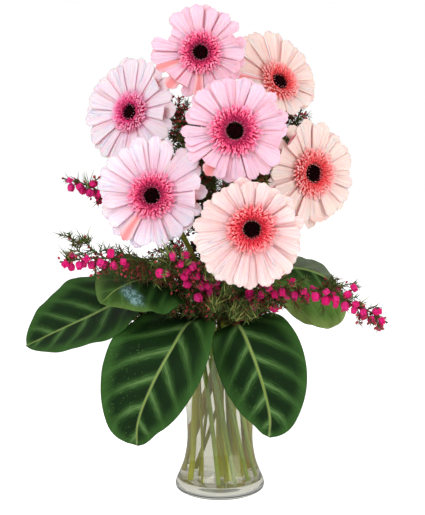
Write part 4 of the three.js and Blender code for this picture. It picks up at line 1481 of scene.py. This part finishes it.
class Obstacles:
    """What the sprays keep clear of: the heads, their stems, and the leaves."""

    def __init__(self, names):
        corners, faces = [], []
        for name in names:
            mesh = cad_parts[name].data
            first = len(corners)
            corners += [vert.co / MM for vert in mesh.vertices]
            faces += [tuple(first + corner for corner in face.vertices) for face in mesh.polygons]
        self.tree = BVHTree.FromPolygons(corners, faces)
        low, high = (Vector(corner) / MM for corner in CAD_BOX)
        self.low = low - (high - low) * BOX_SPARE
        self.high = high + (high - low) * BOX_SPARE

    def clear(self, root, tip, margin):
        """Whether a straight piece from root to tip stays a margin away from them all, and in the box."""
        if any(value < low or value > high for value, low, high in zip(tip, self.low, self.high)):
            return False
        if any(self.tree.find_nearest(point, margin)[0] is not None for point in (tip, root.lerp(tip, 0.5))):
            return False
        way = tip - root
        return self.tree.ray_cast(root, way.normalized(), way.length)[0] is None


def outward(path, share, angle):
    """A direction away from a path, at an angle round it."""
    along = path.along(share)
    first = along.cross(Vector((0.3, 0.2, 1))).normalized()
    return first * math.cos(angle) + along.cross(first) * math.sin(angle)


class Spray:
    """A spray in the making: its twigs and needles, and its bells and buds."""

    def __init__(self, index, look, obstacles):
        self.look = look
        self.clear = obstacles.clear
        self.rng = random.Random(SPRAY_SEED + index)
        self.greens = Piece(f"twigs_{index + 1}")
        self.flowers = Piece(f"boronia_flowers_{index + 1}")

    def add_spike(self, root, tip, radius, tone):
        self.greens.mark(self.greens.spike(root, tip, radius), tone)

    def add_stalk(self, points, radius, sides, tone):
        self.greens.mark(self.greens.tube(points, radius, sides), tone)

    def add_needles(self, path, first, last, spacing, tone):
        """Needles up a twig, each turned by the golden angle from the last."""
        rng = self.rng
        count = max(3, int((last - first) * path.length / spacing))
        for place in range(count):
            share = lerp(first, last, (place + 0.5) / count)
            root = path.at(share)
            length = self.look.needle_length / MM * rng.uniform(0.7, 1.3)
            lean = outward(path, share, place * GOLDEN_ANGLE + rng.uniform(-0.3, 0.3)) * 0.8
            lean += path.along(share) * rng.uniform(0.45, 1.0)
            tip = root + lean.normalized() * length
            if self.clear(root, tip, NEEDLE_CLEARANCE):
                self.add_spike(root, tip, rng.uniform(0.42, 0.65), tone + rng.uniform(-0.25, 0.25))

    def add_bell(self, root, hang):
        """A hanging bell of four petals on a short stalk."""
        length = self.look.bell_length / MM * self.rng.uniform(0.88, 1.1)
        radius = self.look.bell_radius / MM * self.rng.uniform(0.85, 1.1)
        profile = [(0, 0.25 * length)]
        profile += [(radius * r, length * h) for r, h in BELL_OUTSIDE]
        profile += [(radius * r - BELL_WALL, length * h) for r, h in BELL_INSIDE]
        profile += [(0, 0.85 * length)]
        spin = Matrix.Rotation(self.rng.uniform(0, TURN), 4, "Z")
        matrix = standing(root, hang) @ spin

        def swell(angle, v):
            depth = 0.12 + 0.4 * smooth(v, 0.2, 0.6) - 0.25 * smooth(v, 0.8, 1.0)
            return 1 - depth * (1 - abs(math.cos(2 * angle))) ** 0.8

        self.flowers.mark(self.flowers.lathe(profile, 16, matrix, swell), self.rng.random())
        self.add_spike(root, root + hang * 0.36 * length, 0.45, 0.15)

    def add_flowers(self, path, first, bells, buds):
        """Bells, and closed buds on short stalks between them, towards the tip of a shoot."""
        rng = self.rng
        for place in range(bells):
            share = lerp(first, 0.98, (place + 0.5) / bells)
            hang = (outward(path, share, (place + 0.5) * GOLDEN_ANGLE) + BELL_DROOP).normalized()
            root = path.at(share)
            if self.clear(root, root + hang * self.look.bell_length / MM, TWIG_CLEARANCE):
                self.add_bell(root, hang)
        for place in range(buds):
            share = lerp(first, 0.99, (place + rng.random()) / buds)
            away = outward(path, share, (place + 0.2) * GOLDEN_ANGLE)
            away = (away + path.along(share) * 0.5).normalized()
            root = path.at(share)
            tip = root + away * rng.uniform(*BUD_STALK)
            if self.clear(root, tip, BUD_CLEARANCE):
                self.add_spike(root, tip, 0.35, 0.1)
                size = rng.uniform(1.0, 1.5)
                self.flowers.mark(self.flowers.ball(tip, away, size, 1.35 * size), rng.random(), finish=1)

    def add_twig(self, root, lean, length):
        """A thin side twig full of needles; half as long, or left out, where something is in its way."""
        tip = root + lean.normalized() * length
        if not self.clear(root, tip, TWIG_CLEARANCE):
            tip = root.lerp(tip, 0.5)
            if not self.clear(root, tip, TWIG_CLEARANCE):
                return None
        twig = Path([root.lerp(tip, s / 4) + UP * 1.5 * math.sin(math.pi * s / 4) for s in range(5)])
        self.add_stalk(twig.points, lambda v: 0.55 - 0.25 * v, 5, 0.35)
        self.add_needles(twig, 0.1, 1.0, TWIG_NEEDLES_EVERY, self.rng.uniform(0.1, 0.9))
        return twig

    def add_shoot(self, main, branching, tip, bells, buds):
        """A bowed shoot off the main stem, with needles, flowers and short twigs."""
        start, end = main.at(branching), Vector(tip)
        knee = start.lerp(end, 0.45) + main.along(branching) * 6
        shoot = Path([start.lerp(knee, s / 10).lerp(knee.lerp(end, s / 10), s / 10) for s in range(11)])
        self.add_stalk(shoot.points, lambda v: 0.9 - 0.4 * v, 6, 0.4)
        self.add_needles(shoot, 0.1, 0.99, SHOOT_NEEDLES_EVERY, 0.6)
        self.add_flowers(shoot, 0.3, bells, buds)
        for place in range(int(shoot.length / 4)):
            share = self.rng.uniform(0.1, 0.9)
            lean = outward(shoot, share, place * GOLDEN_ANGLE) + shoot.along(share) * 0.6
            self.add_twig(shoot.at(share), lean, self.rng.uniform(*SHORT_TWIG))

    def add_tuft(self, root, lean, count):
        """A tuft of long needles, like grass."""
        rng = self.rng
        spread = min(5, 0.15 * count)
        for _ in range(count):
            away = (lean.normalized() + Vector([rng.uniform(-0.75, 0.75) for _ in range(3)])).normalized()
            start = root + Vector([rng.uniform(-spread, spread) for _ in range(3)])
            tip = start + away * rng.uniform(*TUFT_NEEDLE)
            if self.clear(start, tip, NEEDLE_CLEARANCE):
                self.add_spike(start, tip, rng.uniform(0.55, 0.85), rng.uniform(0.2, 1.15))

    def add_side_twigs(self, main, spray):
        """Twigs all up the main stem, shorter towards its tip and scarcer among its bells."""
        rng = self.rng
        crowding, shortening = (1.3, 0.6) if spray["bells"] else (1.0, 0.35)
        count = int(main.length * (1 - spray["leafy_from"]) / spray["twig_every"])
        for place in range(count):
            share = lerp(spray["leafy_from"], 0.93, ((place + rng.random()) / count) ** crowding)
            if spray["bells"] and share > spray["flowers_from"] and rng.random() < 0.75:
                continue
            lean = outward(main, share, place * GOLDEN_ANGLE) + main.along(share) * rng.uniform(0.2, 1.1)
            lean -= UP * spray.get("hang", 0)
            twig = self.add_twig(main.at(share), lean, rng.uniform(*LONG_TWIG) * (1 - shortening * share))
            if twig and rng.random() < 0.45:
                self.add_flowers(twig, 0.45, 0, 5)


def make_spray(index, spray, look, obstacles, needles, bells, buds):
    made = Spray(index, look, obstacles)
    flowers_from = spray["flowers_from"]
    mouth = bundle_point(spray["slot"], VASE_HEIGHT)
    foot = bundle_point(spray["slot"], TWIG_FOOT)
    route = smooth_route([mouth, *spray["route"]], 10)
    straight = [foot.lerp(mouth, step / 8) for step in range(8)]
    made.add_stalk(straight + route, lambda v: TWIG_RADIUS * (1 - 0.5 * max(0, v - 0.3)), 8, 0.35)
    main = Path(route)
    made.add_needles(main, 0.12, flowers_from, STEM_NEEDLES_EVERY, 0.55)
    made.add_needles(main, flowers_from, 0.99, FLOWERING_NEEDLES_EVERY, 0.55)
    made.add_flowers(main, flowers_from, spray["bells"], spray["buds"])
    for shoot in spray["shoots"]:
        made.add_shoot(main, *shoot)
    for root, lean, count in spray.get("tufts", ()):
        made.add_tuft(Vector(root), Vector(lean), count)
    made.add_side_twigs(main, spray)
    made.greens.finish([needles], "boronia", [f"boronia_{index + 1}"])
    made.flowers.finish([bells, buds], "boronia")


# Stage


CAMERA_PLACE = (-0.008, -1.5, 0.48)
CAMERA_AIM = (-0.008, 0, 0.252)
CAMERA_LENS = 100.8
CAMERA_REACH = 50
FLOOR_HALF = 3.0
FLOOR_GLOW = 0.2
FLOOR_GLOW_SEEN = 0.4
KEY_PLACE = (-1.1, -1.5, 1.5)
KEY_SIZE = 1.3
FILL_PLACE = (1.5, -1.3, 0.7)
FILL_SIZE = 1.5
LIGHTS_AIM = (0, 0, 0.25)

# The surround's light grows from the first strength to the second between these heights of the
# direction that it comes from
SURROUND_HEIGHTS = (0.0, 0.8)
SURROUND_STRENGTHS = (0.34, 0.72)


def aimed(data, place, target):
    """A light or camera at a place, turned to its target."""
    made = bpy.data.objects.new(data.name, data)
    bpy.context.scene.collection.objects.link(made)
    made.location = place
    made.rotation_euler = (Vector(target) - Vector(place)).to_track_quat("-Z", "Y").to_euler()
    return made


def soft_light(name, place, size, power):
    light = bpy.data.lights.new(name, "AREA")
    light.size = size
    light.energy = power
    aimed(light, place, LIGHTS_AIM).visible_glossy = False


def make_world():
    """A white surround, whose light is softer from the front and the sides than from above."""
    world = bpy.data.worlds.new("studio")
    bpy.context.scene.world = world
    world.use_nodes = True
    nodes, links = world.node_tree.nodes, world.node_tree.links
    background = nodes["Background"]
    background.inputs["Color"].default_value = (1, 1, 1, 1)
    coordinate = nodes.new("ShaderNodeTexCoord")
    split = nodes.new("ShaderNodeSeparateXYZ")
    ramp = nodes.new("ShaderNodeMapRange")
    for socket, value in zip(ramp.inputs[1:5], (*SURROUND_HEIGHTS, *SURROUND_STRENGTHS)):
        socket.default_value = value
    seen = nodes.new("ShaderNodeMath")
    seen.operation = "MAXIMUM"
    links.new(coordinate.outputs["Generated"], split.inputs[0])
    links.new(split.outputs[2], ramp.inputs[0])
    links.new(ramp.outputs[0], seen.inputs[0])
    links.new(nodes.new("ShaderNodeLightPath").outputs["Is Camera Ray"], seen.inputs[1])
    links.new(seen.outputs[0], background.inputs["Strength"])


def make_stage(look):
    bm = bmesh.new()
    bmesh.ops.create_grid(bm, x_segments=2, y_segments=2, size=FLOOR_HALF)
    mesh = bpy.data.meshes.new("floor")
    bm.to_mesh(mesh)
    bm.free()
    mesh.materials.append(floor_finish(look.floor))
    floor = bpy.data.objects.new("floor", mesh)
    bpy.context.scene.collection.objects.link(floor)
    floor.visible_glossy = False
    camera = bpy.data.cameras.new("camera")
    camera.lens = CAMERA_LENS
    camera.clip_end = CAMERA_REACH
    bpy.context.scene.camera = aimed(camera, CAMERA_PLACE, CAMERA_AIM)
    soft_light("key", KEY_PLACE, KEY_SIZE, look.key_power)
    soft_light("fill", FILL_PLACE, FILL_SIZE, look.fill_power)
    make_world()
    bpy.context.scene.view_settings.view_transform = "Standard"


# Operators


class GERBERAS_OT_vase(bpy.types.Operator):
    """Make the glass vase and its water"""
    bl_idname = "gerberas.vase"
    bl_label = "Vase and Water"

    def execute(self, context):
        make_glass(context.scene.vase_look)
        make_water(context.scene.vase_look)
        return {"FINISHED"}


class GERBERAS_OT_rays(bpy.types.Operator):
    """Make the long rays of every head"""
    bl_idname = "gerberas.rays"
    bl_label = "Rays"

    def execute(self, context):
        look = context.scene.bloom_look
        back = ray_back_finish(look.underside)
        faces = {
            name: ray_finish(f"ray_{name}", getattr(look, name), *tints) for name, tints in RAY_TINTS.items()
        }
        for index, head in enumerate(GERBERAS):
            make_rays(index, head, look, faces[head["finish"]], back)
        return {"FINISHED"}


class GERBERAS_OT_florets(bpy.types.Operator):
    """Make the raised collar of short florets of every head"""
    bl_idname = "gerberas.florets"
    bl_label = "Collars of Florets"

    def execute(self, context):
        finishes = {name: floret_finish(f"floret_{name}", *tints) for name, tints in FLORET_TINTS.items()}
        finishes["rose"] = finishes["pink"]
        for index, head in enumerate(GERBERAS):
            make_florets(index, head, finishes[head["finish"]])
        return {"FINISHED"}


class GERBERAS_OT_discs(bpy.types.Operator):
    """Make the dark centre of every head with its ring of stamens"""
    bl_idname = "gerberas.discs"
    bl_label = "Centres"

    def execute(self, context):
        buds, pollen = disc_finish(), pollen_finish()
        for index, head in enumerate(GERBERAS):
            make_disc(index, head, buds, pollen)
        return {"FINISHED"}


class GERBERAS_OT_stems(bpy.types.Operator):
    """Make the gerberas' stems, with the cup and bracts behind each head"""
    bl_idname = "gerberas.stems"
    bl_label = "Stems"

    def execute(self, context):
        green, olive = (stem_finish(name, *STEM_TINTS[name]) for name in ("stem_green", "stem_olive"))
        calyx = calyx_finish()
        for index, head in enumerate(GERBERAS):
            make_stem(index, head, olive if index % 2 else green, calyx)
        return {"FINISHED"}


class GERBERAS_OT_leaves(bpy.types.Operator):
    """Make the broad striped leaves and their stalks"""
    bl_idname = "gerberas.leaves"
    bl_label = "Leaves"

    def execute(self, context):
        look = context.scene.leaf_look
        face, back = leaf_finish(look), leaf_back_finish(look)
        stalk = stem_finish("leaf_stalk", *STEM_TINTS["leaf_stalk"], look.midrib)
        for index, leaf in enumerate(LEAVES):
            midrib = Path(smooth_route(leaf["midrib"], MIDRIB_STEPS))
            make_blade(index, leaf, midrib, look, face, back)
            make_leaf_stalk(index, leaf, midrib, stalk)
        return {"FINISHED"}


class GERBERAS_OT_boronia(bpy.types.Operator):
    """Make the boronia sprays with their needles, bells and buds"""
    bl_idname = "gerberas.boronia"
    bl_label = "Boronia"

    def execute(self, context):
        look = context.scene.spray_look
        names = [f"leaf_{index + 1}" for index in range(len(LEAVES))]
        for index in range(len(GERBERAS)):
            names += [f"gerbera_{index + 1}_{part}" for part in ("rays", "florets", "stem")]
        obstacles = Obstacles(names)
        needles, bells, buds = needle_finish(), bell_finish(look.bell), bud_finish(look.bud)
        for index, spray in enumerate(SPRAYS):
            make_spray(index, spray, look, obstacles, needles, bells, buds)
        return {"FINISHED"}


class GERBERAS_OT_stage(bpy.types.Operator):
    """Make the floor, the lights, the surround and the camera"""
    bl_idname = "gerberas.stage"
    bl_label = "Stage"

    def execute(self, context):
        make_stage(context.scene.stage_look)
        return {"FINISHED"}


OPERATORS = (
    GERBERAS_OT_stage,
    GERBERAS_OT_vase,
    GERBERAS_OT_stems,
    GERBERAS_OT_rays,
    GERBERAS_OT_florets,
    GERBERAS_OT_discs,
    GERBERAS_OT_leaves,
    GERBERAS_OT_boronia,
)
SETTINGS = {
    "vase_look": VaseSettings,
    "bloom_look": BloomSettings,
    "leaf_look": LeafSettings,
    "spray_look": SpraySettings,
    "stage_look": StageSettings,
}


class GERBERAS_PT_panel(bpy.types.Panel):
    """The settings and the operators of the arrangement"""
    bl_idname = "GERBERAS_PT_panel"
    bl_label = "Gerberas in a Vase"
    bl_space_type = "VIEW_3D"
    bl_region_type = "UI"
    bl_category = "Gerberas"

    def draw(self, context):
        for name, group in SETTINGS.items():
            box = self.layout.box()
            for prop in group.__annotations__:
                box.prop(getattr(context.scene, name), prop)
        for operator in OPERATORS:
            self.layout.operator(operator.bl_idname)


def register():
    for group in (*SETTINGS.values(), *OPERATORS, GERBERAS_PT_panel):
        bpy.utils.register_class(group)
    for name, group in SETTINGS.items():
        setattr(bpy.types.Scene, name, PointerProperty(type=group))


def unregister():
    for name in SETTINGS:
        delattr(bpy.types.Scene, name)
    for group in reversed((*SETTINGS.values(), *OPERATORS, GERBERAS_PT_panel)):
        bpy.utils.unregister_class(group)


def main():
    register()
    bpy.ops.gerberas.stage()
    bpy.ops.gerberas.vase()
    bpy.ops.gerberas.stems()
    bpy.ops.gerberas.rays()
    bpy.ops.gerberas.florets()
    bpy.ops.gerberas.discs()
    bpy.ops.gerberas.leaves()
    bpy.ops.gerberas.boronia()
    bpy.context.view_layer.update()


if __name__ == "__main__":
    main()
